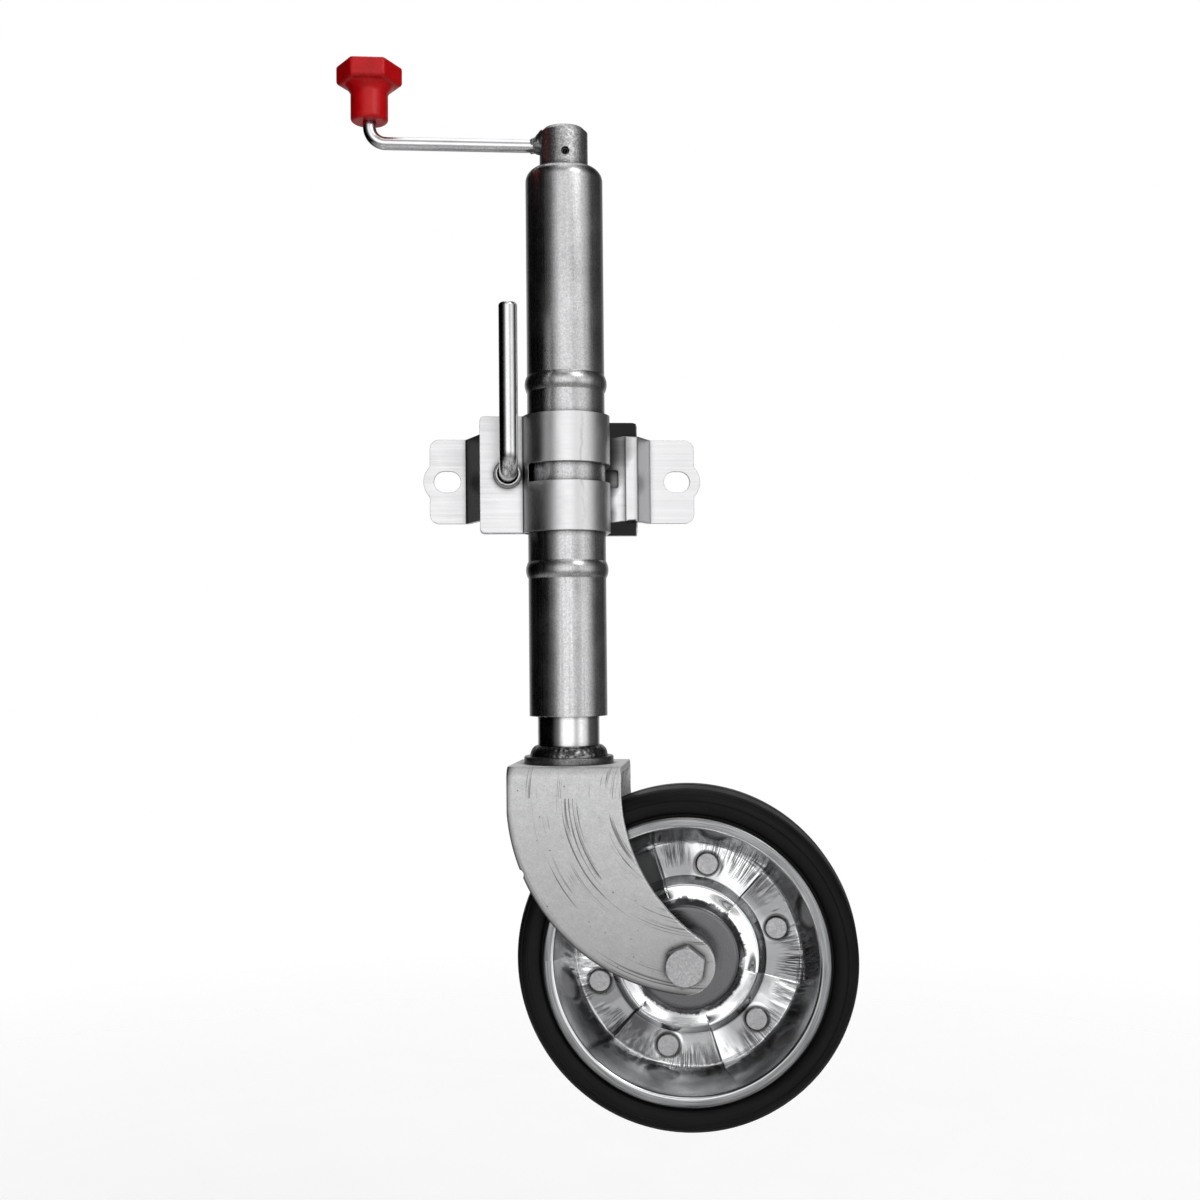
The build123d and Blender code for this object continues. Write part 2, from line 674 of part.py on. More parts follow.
LEG_LEFT = -33.3
LEG_RIGHT = 35.0
LEG_STRAIGHT_Z = -205.0
THROAT_Z = -195.0
NICK = (-26.5, -241.2)  # shearing nick in the rear edge of both legs
NICK_R = 3.2
FORK_REACH = 150.0  # more than the legs' height
BOLT_SLACK = 0.1
nose_turn = radians(52)
nose_top = (AXLE_X + NOSE_R * cos(nose_turn), AXLE_Z + NOSE_R * sin(nose_turn))

with BuildPart() as fork:
    with BuildSketch(fork_side):
        with BuildLine():
            left = Line((LEG_LEFT, FORK_TOP), (LEG_LEFT, LEG_STRAIGHT_Z))
            belly = ThreePointArc(left @ 1, (0.5, -277.8), (AXLE_X, AXLE_Z - NOSE_R))
            nose = ThreePointArc(belly @ 1, (AXLE_X + NOSE_R, AXLE_Z), nose_top)
            throat = ThreePointArc(nose @ 1, (47.5, -241), (LEG_RIGHT, THROAT_Z))
            Polyline(throat @ 1, (LEG_RIGHT, FORK_TOP), left @ 0)
        make_face()
        with Locations(NICK):
            Circle(NICK_R, mode=Mode.SUBTRACT)
    extrude(amount=LEG_FACE, both=True)
    with BuildSketch(fork_end):
        with Locations((0, FORK_TOP)):
            Rectangle(FORK_WIDTH, FORK_REACH, align=(Align.CENTER, Align.MAX))
        fillet(vertices().group_by(Axis.Y)[-1], FORK_BEND)
        with Locations((0, FORK_TOP - FORK_PLATE)):
            Rectangle(2 * LEG_INSIDE, FORK_REACH, align=(Align.CENTER, Align.MAX), mode=Mode.SUBTRACT)
    extrude(amount=FORK_REACH, both=True, mode=Mode.INTERSECT)
    with BuildSketch(wheel):
        Circle(AXLE_R + BOLT_SLACK)
    extrude(amount=2 * LEG_FACE, both=True, mode=Mode.SUBTRACT)

# ---- axle ----
AXLE_FLATS = 22.0
BOLT_HEAD = 8.8
BOLT_TURN = -8.0
AXLE_WASHER = 2.5
AXLE_WASHER_R = 14.0
SIDE_WASHER = 1.5  # between each fork leg and the wheel's hub
AXLE_NUT = 14.0
NUT_CROWN = 4.0
INSERT_DEPTH = 3.0
INSERT_R = AXLE_R + 1.5
BOLT_END = LEG_FACE + AXLE_WASHER + AXLE_NUT + 2
near_leg = wheel.offset(LEG_FACE)
far_nut = Plane(wheel.origin, x_dir=-wheel.x_dir, z_dir=-wheel.z_dir).offset(LEG_FACE + AXLE_WASHER)

with BuildPart() as axle_bolt:
    with BuildSketch(near_leg):
        hexagon(AXLE_FLATS, BOLT_TURN)
    extrude(amount=BOLT_HEAD)
    bevel_hex(near_leg, AXLE_FLATS, BOLT_HEAD)
    with BuildSketch(near_leg):
        Circle(AXLE_R)
    extrude(amount=-LEG_FACE - BOLT_END)
    chamfer(axle_bolt.edges().sort_by(axle_axis)[0], 1)

with BuildPart() as axle_sleeve:
    with BuildSketch(wheel):
        annulus(SLEEVE_R, AXLE_R + FIT)
    extrude(amount=LEG_INSIDE, both=True)

with BuildPart() as axle_washers:
    with BuildSketch(near_leg.offset(-FORK_WIDTH - AXLE_WASHER)):
        annulus(AXLE_WASHER_R, AXLE_R + 0.3)
    extrude(amount=AXLE_WASHER)
    for start in (-LEG_INSIDE, LEG_INSIDE - SIDE_WASHER):
        with BuildSketch(wheel.offset(start)):
            annulus(BARREL_R, SLEEVE_R)
        extrude(amount=SIDE_WASHER)

with BuildPart() as axle_nut:
    with BuildSketch(far_nut):
        hexagon(AXLE_FLATS, 10)
    extrude(amount=AXLE_NUT - NUT_CROWN)
    bevel_hex(far_nut, AXLE_FLATS, AXLE_NUT - NUT_CROWN)
    with BuildSketch(far_nut.offset(AXLE_NUT - NUT_CROWN)):
        Circle(AXLE_FLATS / 2 - 1.5)
    extrude(amount=NUT_CROWN)
    with BuildSketch(far_nut):
        Circle(AXLE_R)
    extrude(amount=AXLE_NUT, mode=Mode.SUBTRACT)
    with BuildSketch(far_nut.offset(AXLE_NUT - INSERT_DEPTH)):
        Circle(INSERT_R)
    extrude(amount=INSERT_DEPTH, mode=Mode.SUBTRACT)

with BuildPart() as nut_insert:
    with BuildSketch(far_nut.offset(AXLE_NUT - INSERT_DEPTH)):
        annulus(INSERT_R, AXLE_R)
    extrude(amount=INSERT_DEPTH - 0.5)

# ---- wheel ----
HUB_BUSH_R = 13.0
BARREL_HALF = 27.0
BUSH_LENGTH = 16.0
HUB_FLANGE = 1.2
HUB_FACE = 12.0  # the raised middle of each rim half, above the wheel's middle plane
STEP_FACE = 7.0
WEB = RIM_PLATE / 2
WALL_FOOT_R = 68.5
WALL_TOP_R = 79.0
LIP_FACE = 26.0
RIVET_R = 7.2
RIVET_SHANK_R = 4.0
RIVET_DOME = 2.2

with BuildPart() as rim_outer_half:
    with BuildSketch(wheel_section):
        with BuildLine():
            FilletPolyline(
                (BARREL_R, HUB_FACE),
                (30, HUB_FACE),
                (34, STEP_FACE),
                (42, STEP_FACE),
                (47, WEB),
                (WALL_FOOT_R, WEB),
                (WALL_TOP_R, LIP_FACE),
                (LIP_R, LIP_FACE),
                radius=2.4,
            )
        trace(line_width=RIM_PLATE)
    revolve(axis=axle_axis)
    with BuildSketch(wheel):
        with PolarLocations(RIVET_CIRCLE, RIVET_COUNT, start_angle=RIVET_START):
            Circle(RIVET_SHANK_R)
    extrude(amount=BARREL_HALF, both=True, mode=Mode.SUBTRACT)

with BuildPart() as rim_inner_half:
    mirror(rim_outer_half.part, about=wheel)

with BuildPart() as rim_rivets:
    with BuildSketch(wheel):
        with PolarLocations(RIVET_CIRCLE, RIVET_COUNT, start_angle=RIVET_START):
            Circle(RIVET_SHANK_R)
    extrude(amount=RIM_PLATE, both=True)
    with BuildSketch(wheel.offset(RIM_PLATE)):
        with PolarLocations(RIVET_CIRCLE, RIVET_COUNT, start_angle=RIVET_START):
            Circle(RIVET_R)
    extrude(amount=RIVET_DOME, taper=25)
    mirror(about=wheel)

TYRE_SEAT_FOOT_R = 70.0
TYRE_SEAT_TOP_R = 80.2
TYRE_EDGE = LIP_FACE - WEB - 0.2
TREAD_HALF = 19.0

with BuildPart() as tyre:
    with BuildSketch(wheel_section):
        with BuildLine():
            inside = Polyline((TYRE_SEAT_FOOT_R, 0), (TYRE_SEAT_TOP_R, TYRE_EDGE), (LIP_R + 1, TYRE_EDGE))
            flank = ThreePointArc(inside @ 1, (91, TYRE_HALF), (96.5, TYRE_HALF - 1))
            shoulder = ThreePointArc(flank @ 1, (100.6, 23.2), (TYRE_R - 0.4, TREAD_HALF))
            ThreePointArc(shoulder @ 1, (TYRE_R, 0), (TYRE_R - 0.4, -TREAD_HALF))
            mirror(shoulder, about=Plane.XZ)
            mirror(flank, about=Plane.XZ)
            mirror(inside, about=Plane.XZ)
        make_face()
    revolve(axis=axle_axis)

with BuildPart() as hub_barrel:
    with BuildSketch(wheel):
        annulus(BARREL_R, HUB_BUSH_R)
    extrude(amount=BARREL_HALF, both=True)

with BuildPart() as hub_bushes:
    with BuildSketch(wheel.offset(BARREL_HALF - BUSH_LENGTH)):
        annulus(HUB_BUSH_R, SLEEVE_R + FIT)
    extrude(amount=BUSH_LENGTH)
    with BuildSketch(wheel.offset(BARREL_HALF)):
        annulus(BARREL_R - 0.5, SLEEVE_R + FIT)
    extrude(amount=HUB_FLANGE)
    mirror(about=wheel)

# ---- one file per piece ----
pieces = {
    "back_saddle": back_saddle,
    "left_ear": left_ear,
    "right_ear": right_ear,
    "ear_welds": ear_welds,
    "clamp_nut": clamp_nut,
    "front_strap": front_strap,
    "clamp_washer": clamp_washer,
    "lever_collar": lever_collar,
    "clamp_lever": clamp_lever,
    "outer_tube": outer_tube,
    "thrust_race_lower": thrust_race_lower,
    "thrust_race_upper": thrust_race_upper,
    "thrust_balls": thrust_balls,
    "top_seat": top_seat,
    "top_bush": top_bush,
    "lower_guide_bush": lower_guide_bush,
    "spindle": spindle,
    "crank_hub": crank_hub,
    "hub_pin": hub_pin,
    "hub_washer": hub_washer,
    "crank_arm": crank_arm,
    "crank_weld": crank_weld,
    "knob": knob,
    "knob_cap": knob_cap,
    "knob_push_nut": knob_push_nut,
    "inner_tube": inner_tube,
    "spindle_nut": spindle_nut,
    "nut_rivets": nut_rivets,
    "inner_guide_ring": inner_guide_ring,
    "guide_ring_clip": guide_ring_clip,
    "tube_weld": tube_weld,
    "swivel_flange": swivel_flange,
    "fork": fork,
    "axle_bolt": axle_bolt,
    "axle_sleeve": axle_sleeve,
    "axle_washers": axle_washers,
    "axle_nut": axle_nut,
    "nut_insert": nut_insert,
    "rim_outer_half": rim_outer_half,
    "rim_inner_half": rim_inner_half,
    "rim_rivets": rim_rivets,
    "tyre": tyre,
    "hub_barrel": hub_barrel,
    "hub_bushes": hub_bushes,
}

os.makedirs("parts", exist_ok=True)
for name, piece in pieces.items():
    piece.part.label = name
    export_step(piece.part, f"parts/{name}.step")
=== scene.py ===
import json
import math
import random

import bpy
from mathutils import Matrix, Vector, noise

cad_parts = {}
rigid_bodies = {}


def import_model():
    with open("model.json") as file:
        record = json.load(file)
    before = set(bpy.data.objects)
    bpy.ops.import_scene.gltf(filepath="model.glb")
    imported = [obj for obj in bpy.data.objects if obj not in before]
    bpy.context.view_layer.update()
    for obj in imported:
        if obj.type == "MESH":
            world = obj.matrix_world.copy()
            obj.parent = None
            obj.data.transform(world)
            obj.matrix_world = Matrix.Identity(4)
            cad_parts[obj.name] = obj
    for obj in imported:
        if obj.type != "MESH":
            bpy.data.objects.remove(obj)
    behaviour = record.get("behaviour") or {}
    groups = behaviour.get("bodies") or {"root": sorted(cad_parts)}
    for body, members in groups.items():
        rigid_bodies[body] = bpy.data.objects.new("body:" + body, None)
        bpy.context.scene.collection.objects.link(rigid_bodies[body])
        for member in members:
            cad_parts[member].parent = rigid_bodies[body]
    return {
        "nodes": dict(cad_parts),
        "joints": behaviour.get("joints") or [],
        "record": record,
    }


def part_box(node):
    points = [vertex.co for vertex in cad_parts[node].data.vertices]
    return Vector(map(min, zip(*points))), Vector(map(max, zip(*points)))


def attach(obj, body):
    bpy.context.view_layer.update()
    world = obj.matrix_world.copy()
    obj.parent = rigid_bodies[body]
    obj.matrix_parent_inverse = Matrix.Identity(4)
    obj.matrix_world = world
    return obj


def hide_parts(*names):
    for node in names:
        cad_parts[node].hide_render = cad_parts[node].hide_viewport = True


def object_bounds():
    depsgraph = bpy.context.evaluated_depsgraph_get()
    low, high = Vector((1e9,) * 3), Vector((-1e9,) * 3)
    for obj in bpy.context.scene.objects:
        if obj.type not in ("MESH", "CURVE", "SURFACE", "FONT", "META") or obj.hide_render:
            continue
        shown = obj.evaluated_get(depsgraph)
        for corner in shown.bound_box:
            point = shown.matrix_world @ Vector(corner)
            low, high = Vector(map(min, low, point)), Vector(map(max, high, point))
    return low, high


for leftover in list(bpy.data.objects):
    bpy.data.objects.remove(leftover)

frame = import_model()
cad_low, cad_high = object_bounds()

# Metres throughout, in the row frame: +X right along the ears, +Y away from the viewer, +Z up.
MM = 0.001
JOINTS = {joint["name"]: joint for joint in frame["joints"]}
TUBE_LOW, TUBE_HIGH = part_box("outer_tube")
TUBE_X = (TUBE_LOW.x + TUBE_HIGH.x) / 2
TUBE_Y = JOINTS["castor_swivel"]["pos_m"][1]
AXLE = Vector(JOINTS["wheel_spin"]["pos_m"])
AXLE_DIR = Vector(JOINTS["wheel_spin"]["axis"]).normalized()  # points out of the near side of the wheel
TRAIL_DIR = Vector((0, 0, 1)).cross(AXLE_DIR)
WHEEL = Matrix((
    (TRAIL_DIR.x, 0, AXLE_DIR.x, AXLE.x),
    (TRAIL_DIR.y, 0, AXLE_DIR.y, AXLE.y),
    (TRAIL_DIR.z, 1, AXLE_DIR.z, AXLE.z),
    (0, 0, 0, 1),
))
FORK_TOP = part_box("fork")[1].z

# The wheel's six pressed panels, one for each rivet; the radius is in mm.
RIVET_CIRCLE = 56.0
RIVET_START = math.radians(17.1)
SECTOR = math.radians(60)

# Noise scales for each axis, in cells per metre.
ACROSS_X = (14.0, 900.0, 1100.0)  # grain that runs along X, as brushed on the strap and ears
ALONG_Z = (700.0, 700.0, 9.0)  # grain that runs up the tubes and rods
EVEN = (500.0, 500.0, 500.0)

NOISE_LOW, NOISE_HIGH = 0.3, 0.7  # where nearly all values of a noise lie
CREVICE_REACH = 0.004
DEEP_SHADE = (0.03, 0.03, 0.03)  # the darkest painted shade on the fork, along its rear edge and in its crevices


# ---------------------------------------------------------------- materials

class Shader:
    """One node material, with short calls that add nodes and return their output sockets."""

    def __init__(self, name):
        self.material = bpy.data.materials.new(name)
        self.material.use_nodes = True
        self.nodes = self.material.node_tree.nodes
        self.links = self.material.node_tree.links
        self.bsdf = self.nodes["Principled BSDF"]
        self.place = self.nodes.new("ShaderNodeTexCoord").outputs["Object"]

    @classmethod
    def again(cls, material):
        """The same helper for a material that already has its nodes."""
        sh = cls.__new__(cls)
        sh.material = material
        sh.nodes, sh.links = material.node_tree.nodes, material.node_tree.links
        sh.bsdf = sh.nodes["Principled BSDF"]
        sh.place = next(node for node in sh.nodes if node.type == "TEX_COORD").outputs["Object"]
        return sh

    def parts(self, vector):
        """The three numbers of a vector."""
        node = self.nodes.new("ShaderNodeSeparateXYZ")
        self.put(node.inputs["Vector"], vector)
        return node.outputs["X"], node.outputs["Y"], node.outputs["Z"]

    def put(self, socket, value):
        """Link a socket, or set a number or colour."""
        if isinstance(value, bpy.types.NodeSocket):
            self.links.new(value, socket)
        else:
            socket.default_value = value

    def surface(self, **values):
        """Set inputs of the surface; a name's underscores stand for spaces."""
        for key, value in values.items():
            self.put(self.bsdf.inputs[key.replace("_", " ")], value)

    def scaled(self, vector, scale):
        """Coordinates stretched by a scale for each axis."""
        node = self.nodes.new("ShaderNodeMapping")
        self.put(node.inputs["Vector"], vector)
        node.inputs["Scale"].default_value = scale
        return node.outputs["Vector"]

    def noise(self, vector, scale, detail=4.0, roughness=0.55, distortion=0.0):
        node = self.nodes.new("ShaderNodeTexNoise")
        self.put(node.inputs["Vector"], vector)
        node.inputs["Scale"].default_value = scale
        node.inputs["Detail"].default_value = detail
        node.inputs["Roughness"].default_value = roughness
        node.inputs["Distortion"].default_value = distortion
        return node.outputs["Fac"]

    def cells(self, vector, scale):
        """Distance to the nearest of many scattered points."""
        node = self.nodes.new("ShaderNodeTexVoronoi")
        self.put(node.inputs["Vector"], vector)
        node.inputs["Scale"].default_value = scale
        return node.outputs["Distance"]

    def remap(self, value, low, high, to_low, to_high):
        """Move a value's range from low..high to to_low..to_high, clamped."""
        node = self.nodes.new("ShaderNodeMapRange")
        node.clamp = True
        self.put(node.inputs["Value"], value)
        limits = {"From Min": low, "From Max": high, "To Min": to_low, "To Max": to_high}
        for name, number in limits.items():
            self.put(node.inputs[name], number)
        return node.outputs["Result"]

    def spread(self, noise_value, to_low=0.0, to_high=1.0):
        """Stretch a noise over a whole range."""
        return self.remap(noise_value, NOISE_LOW, NOISE_HIGH, to_low, to_high)

    def band(self, value, rise, fall):
        """1 between two (from, to) slopes and 0 outside them."""
        return self.times(self.remap(value, *rise, 0.0, 1.0), self.remap(value, *fall, 1.0, 0.0))

    def math(self, operation, a, b=0.0):
        node = self.nodes.new("ShaderNodeMath")
        node.operation = operation
        self.put(node.inputs[0], a)
        self.put(node.inputs[1], b)
        return node.outputs["Value"]

    def times(self, a, b):
        return self.math("MULTIPLY", a, b)

    def mix(self, factor, a, b):
        """Blend two colours."""
        node = self.nodes.new("ShaderNodeMix")
        node.data_type = "RGBA"
        self.put(node.inputs["Factor"], factor)
        for socket, value in ((node.inputs[6], a), (node.inputs[7], b)):
            self.put(socket, value if isinstance(value, bpy.types.NodeSocket) else (*value, 1))
        return node.outputs[2]

    def along(self, origin, direction):
        """Metres from an origin along a direction."""
        offset = self.nodes.new("ShaderNodeVectorMath")
        offset.operation = "SUBTRACT"
        self.put(offset.inputs[0], self.place)
        offset.inputs[1].default_value = origin
        dot = self.nodes.new("ShaderNodeVectorMath")
        dot.operation = "DOT_PRODUCT"
        self.put(dot.inputs[0], offset.outputs["Vector"])
        dot.inputs[1].default_value = direction
        return dot.outputs["Value"]

    def polar(self, centre, x_dir, y_dir):
        """Radius in metres and angle in radians round an axis through a point, as one vector."""
        parts = [self.along(centre, direction) for direction in (x_dir, y_dir)]
        angle = self.math("ARCTAN2", parts[1], parts[0])
        radius = self.length(*parts)
        node = self.nodes.new("ShaderNodeCombineXYZ")
        self.put(node.inputs["X"], radius)
        self.put(node.inputs["Y"], angle)
        return node.outputs["Vector"]

    def length(self, a, b):
        """The longest side of a right triangle with sides a and b."""
        return self.math("SQRT", self.math("ADD", self.times(a, a), self.times(b, b)))

    def bump(self, height, distance, strength=1.0, normal=None):
        """Normal of a height map whose full range is distance metres."""
        node = self.nodes.new("ShaderNodeBump")
        node.inputs["Strength"].default_value = strength
        node.inputs["Distance"].default_value = distance
        self.put(node.inputs["Height"], height)
        if normal is not None:
            self.put(node.inputs["Normal"], normal)
        return node.outputs["Normal"]

    def edges(self, radius):
        """Normal with its edges rounded, and a value that is 1 along edges and 0 elsewhere."""
        bevel = self.nodes.new("ShaderNodeBevel")
        bevel.samples = 4
        bevel.inputs["Radius"].default_value = radius
        geometry = self.nodes.new("ShaderNodeNewGeometry")
        dot = self.nodes.new("ShaderNodeVectorMath")
        dot.operation = "DOT_PRODUCT"
        self.put(dot.inputs[0], bevel.outputs["Normal"])
        self.put(dot.inputs[1], geometry.outputs["Normal"])
        return bevel.outputs["Normal"], self.remap(dot.outputs["Value"], 0.99, 0.80, 0.0, 1.0)

    def crevice_shade(self, distance, darkest):
        """A value for painted shade and grime that rises from 0 in the open to darkest in corners and
        under other parts.
        """
        node = self.nodes.new("ShaderNodeAmbientOcclusion")
        node.samples = 6
        node.inputs["Distance"].default_value = distance
        return self.remap(node.outputs["AO"], 0.45, 0.92, darkest, 0.0)


def shade(colour, factor):
    return tuple(min(channel * factor, 1.0) for channel in colour)


def plated_steel(name, colour, roughness, grain, speck, grain_depth=0.00002, cloud=0.10, worn=0.5,
                 streak=0.25, pitting=0.2):
    """Zinc-plated steel: drawn or brushed grain, cloudy plating, dark specks, bright worn edges, and
    painted shade and grime in crevices.
    """
    sh = Shader(name)
    fine = sh.noise(sh.scaled(sh.place, grain), 1.0, detail=3.0)
    clouds = sh.noise(sh.place, 42.0, detail=5.0, roughness=0.6)
    speckle = sh.remap(sh.cells(sh.place, 260.0), 0.05, 0.11, 1.0, 0.0)
    patch = sh.remap(sh.noise(sh.place, 95.0, detail=2.0), 0.55, 0.66, 0.0, speck)
    marks = sh.times(speckle, patch)
    round_edge, edge = sh.edges(0.0007)
    base = sh.mix(sh.spread(clouds), shade(colour, 1 - cloud), shade(colour, 1 + cloud))
    base = sh.mix(sh.spread(fine, 0.0, streak), base, shade(colour, 0.5))
    pits = sh.noise(sh.place, 900.0, detail=3.0, roughness=0.7)
    base = sh.mix(sh.remap(pits, 0.40, 0.62, pitting, 0.0), base, shade(colour, 0.25))
    base = sh.mix(marks, base, shade(colour, 0.22))
    base = sh.mix(sh.times(edge, worn), base, shade(colour, 1.25))
    # painted shade and grime in corners and under other parts
    base = sh.mix(sh.crevice_shade(CREVICE_REACH, 0.85), base, (0.015, 0.015, 0.015))
    rough = sh.math("ADD", sh.spread(clouds, roughness * 0.85, roughness * 1.15),
                    sh.spread(fine, -0.04, 0.06))
    normal = sh.bump(fine, grain_depth, normal=round_edge)
    normal = sh.bump(pits, 0.00008 * pitting, normal=normal)
    rough = sh.math("ADD", rough, sh.times(marks, 0.3))
    sh.surface(Base_Color=base, Metallic=1.0, Roughness=rough, Normal=normal)
    return sh.material


def bracket_plate():
    """Satin zinc plate, brushed along X.

    Painted shadow darkens the fold beside the tube, the plate's corners beyond it and the riser of the
    left ear, painted shade darkens the plate's edges, and a faint painted dark reflection runs down the
    strap. The places are in metres.
    """
    fold_start = (TUBE_X + 0.0270, TUBE_X + 0.0305)  # at its foot, at its top
    fold_reach = (0.0060, 0.0150)
    corner_height = (0.0262, 0.0272)
    recess_left = (TUBE_X + 0.020, TUBE_X + 0.024)
    recess_right = (TUBE_X + 0.0455, TUBE_X + 0.0465)
    recess_depth = (TUBE_Y - 0.002, TUBE_Y + 0.004)
    riser_right, riser_left = (-0.0480, -0.0490), (-0.0670, -0.0655)
    dark_reflection_x, dark_reflection_half_width = TUBE_X + 0.0078, 0.0013
    material = plated_steel("bracket_zinc", (0.70, 0.70, 0.71), 0.36, ACROSS_X, grain_depth=0.000003,
                            cloud=0.03, speck=0.1, worn=0.0, streak=0.07, pitting=0.03)
    sh = Shader.again(material)
    base = sh.bsdf.inputs["Base Color"].links[0].from_socket
    x, y, z = sh.parts(sh.place)
    facing_x, facing_y, _ = sh.parts(sh.nodes.new("ShaderNodeNewGeometry").outputs["Normal"])
    waver = sh.spread(sh.noise(sh.place, 60.0, detail=2.0), -0.0012, 0.0012)
    x = sh.math("ADD", x, waver)

    # painted shadow in the fold right of the tube, widest at the top, and on the plate's corners beyond
    # it
    rise = sh.remap(z, -0.012, 0.016, 0.0, 1.0)
    start = sh.remap(rise, 0.0, 1.0, *fold_start)
    reach = sh.remap(rise, 0.0, 1.0, *fold_reach)
    clear = sh.math("DIVIDE", sh.math("SUBTRACT", x, start), reach)
    clear = sh.math("POWER", sh.remap(clear, 0.0, 1.0, 0.0, 1.0), 1.6)
    fold = sh.times(sh.math("SUBTRACT", 1.0, clear), 0.985)
    corner = sh.remap(sh.math("ADD", sh.math("ABSOLUTE", z), waver), *corner_height, 0.0, 0.99)
    recess = sh.times(sh.remap(y, *recess_depth, 0.0, 1.0), sh.remap(x, *recess_left, 0.0, 1.0))
    recess = sh.times(recess, sh.remap(x, *recess_right, 1.0, 0.0))
    recess = sh.times(recess, sh.remap(facing_y, -0.2, -0.6, 0.0, 1.0))
    shadow = sh.times(recess, sh.math("MAXIMUM", fold, corner))

    # the riser of the left ear, in the shadow of the flange
    riser = sh.times(sh.remap(facing_x, -0.15, -0.75, 0.0, 0.96), sh.remap(x, *riser_right, 0.0, 1.0))
    riser = sh.times(riser, sh.remap(x, *riser_left, 0.0, 1.0))

    # a painted dark reflection line down the strap; it wanders as it runs down, and fades in and out
    wander = sh.noise(sh.scaled(sh.place, (0.0, 0.0, 90.0)), 1.0, detail=3.0)
    wander = sh.spread(wander, -0.0009, 0.0009)
    from_dark_reflection = sh.math("ABSOLUTE", sh.math("SUBTRACT", sh.math("ADD", x, wander), dark_reflection_x))
    faint = sh.remap(sh.noise(sh.scaled(sh.place, (60.0, 60.0, 45.0)), 1.0), 0.40, 0.58, 0.2, 1.0)
    dark_reflection = sh.times(sh.remap(from_dark_reflection, 0.0, dark_reflection_half_width, 0.40, 0.0), faint)
    base = sh.mix(dark_reflection, base, (0.30, 0.30, 0.305))
    # painted shade along the plate's edges
    base = sh.mix(sh.times(sh.edges(0.0005)[1], 0.55), base, (0.20, 0.20, 0.205))
    sh.surface(Base_Color=sh.mix(sh.math("MAXIMUM", shadow, riser), base, (0.012, 0.012, 0.013)))
    return material


def galvanised_fork():
    """Matt light-grey galvanised plate: dark specks, cloudy spangle, long curved rolling scratches.
    Painted shade darkens its rear edge and the far edge of its top, painted shade and grime darken its
    crevices, a painted highlight whitens its top face, and its rounded edges carry painted highlights
    and shade.
    """
    sh = Shader("fork_galvanised")
    grey = (0.86, 0.865, 0.865)
    rear_edge_centre = AXLE + Vector((0, 0, 96.9 * MM)) + TRAIL_DIR * 9.4 * MM
    rear_edge_fade = (0.1105, 0.1146)  # radii about that centre, in metres
    top_fade = (FORK_TOP - 0.0003, FORK_TOP - 0.0001)
    far_edge_fade = (-0.0270, -0.0262)  # along the axle
    nose_fade = (AXLE.z - 0.02, AXLE.z + 0.10)
    clouds = sh.noise(sh.place, 26.0, detail=7.0, roughness=0.66)
    mottle = sh.noise(sh.place, 210.0, detail=4.0, roughness=0.7)
    grain = sh.noise(sh.place, 1100.0, detail=3.0, roughness=0.7)
    specks = sh.remap(sh.cells(sh.place, 190.0), 0.05, 0.13, 1.0, 0.0)
    speck_areas = sh.remap(sh.noise(sh.place, 70.0, detail=2.0), 0.48, 0.58, 0.0, 0.85)
    specks = sh.times(specks, speck_areas)
    round_bend = sh.polar(rear_edge_centre, TRAIL_DIR, (0, 0, 1))
    lines = sh.noise(sh.scaled(round_bend, (900.0, 0.9, 1.0)), 1.0, detail=3.0)
    patches = sh.noise(sh.scaled(round_bend, (70.0, 1.4, 1.0)), 1.0, detail=2.0)
    scratches = sh.times(sh.remap(lines, 0.56, 0.63, 0.0, 1.0),
                         sh.remap(patches, 0.50, 0.58, 0.0, 0.75))
    height = sh.parts(sh.place)[2]
    top_face = sh.remap(height, *top_fade, 0.0, 1.0)
    base = sh.mix(sh.spread(clouds), shade(grey, 0.82), shade(grey, 1.12))
    base = sh.mix(sh.remap(mottle, 0.35, 0.65, 0.0, 0.35), base, shade(grey, 0.60))
    base = sh.mix(sh.remap(grain, 0.35, 0.65, 0.0, 0.40), base, shade(grey, 0.50))
    base = sh.mix(sh.remap(height, *nose_fade, 0.75, 0.0), base, shade(grey, 0.40))
    # painted shade along the fork's rounded rear edge
    rear_edge = sh.remap(sh.parts(round_bend)[0], *rear_edge_fade, 0.0, 1.0)
    base = sh.mix(sh.times(sh.math("POWER", rear_edge, 2.0), 0.9), base, DEEP_SHADE)
    base = sh.mix(sh.math("MAXIMUM", specks, scratches), base, shade(grey, 0.12))
    # painted highlight: the top face whitened as if it reflects the light above, and painted shade
    # along its far edge
    base = sh.mix(top_face, base, (0.96, 0.96, 0.96))
    far_edge = sh.remap(sh.along(AXLE, AXLE_DIR), *far_edge_fade, 1.0, 0.0)
    base = sh.mix(sh.times(top_face, far_edge), base, (0.02, 0.02, 0.02))
    round_edge, edge = sh.edges(0.0016)
    # painted highlight and shade on the rounded edges: bright where they lean right, dark where they
    # lean left
    leaning = sh.remap(sh.parts(round_edge)[0], -0.25, 0.05, 0.0, 1.0)
    base = sh.mix(edge, base, sh.mix(leaning, (0.04, 0.04, 0.04), (0.95, 0.96, 0.96)))
    # painted shade and grime in corners and under other parts
    base = sh.mix(sh.crevice_shade(CREVICE_REACH, 0.9), base, DEEP_SHADE)
    rough = sh.math("SUBTRACT", sh.spread(clouds, 0.46, 0.58), sh.times(edge, 0.25))
    normal = sh.bump(scratches, -0.00005, normal=round_edge)
    normal = sh.bump(mottle, 0.00016, normal=normal)
    normal = sh.bump(grain, 0.00005, normal=normal)
    metallic = sh.remap(top_face, 0.0, 1.0, 0.8, 0.2)
    sh.surface(Base_Color=base, Metallic=metallic, Roughness=rough, Normal=normal)
    return sh.material


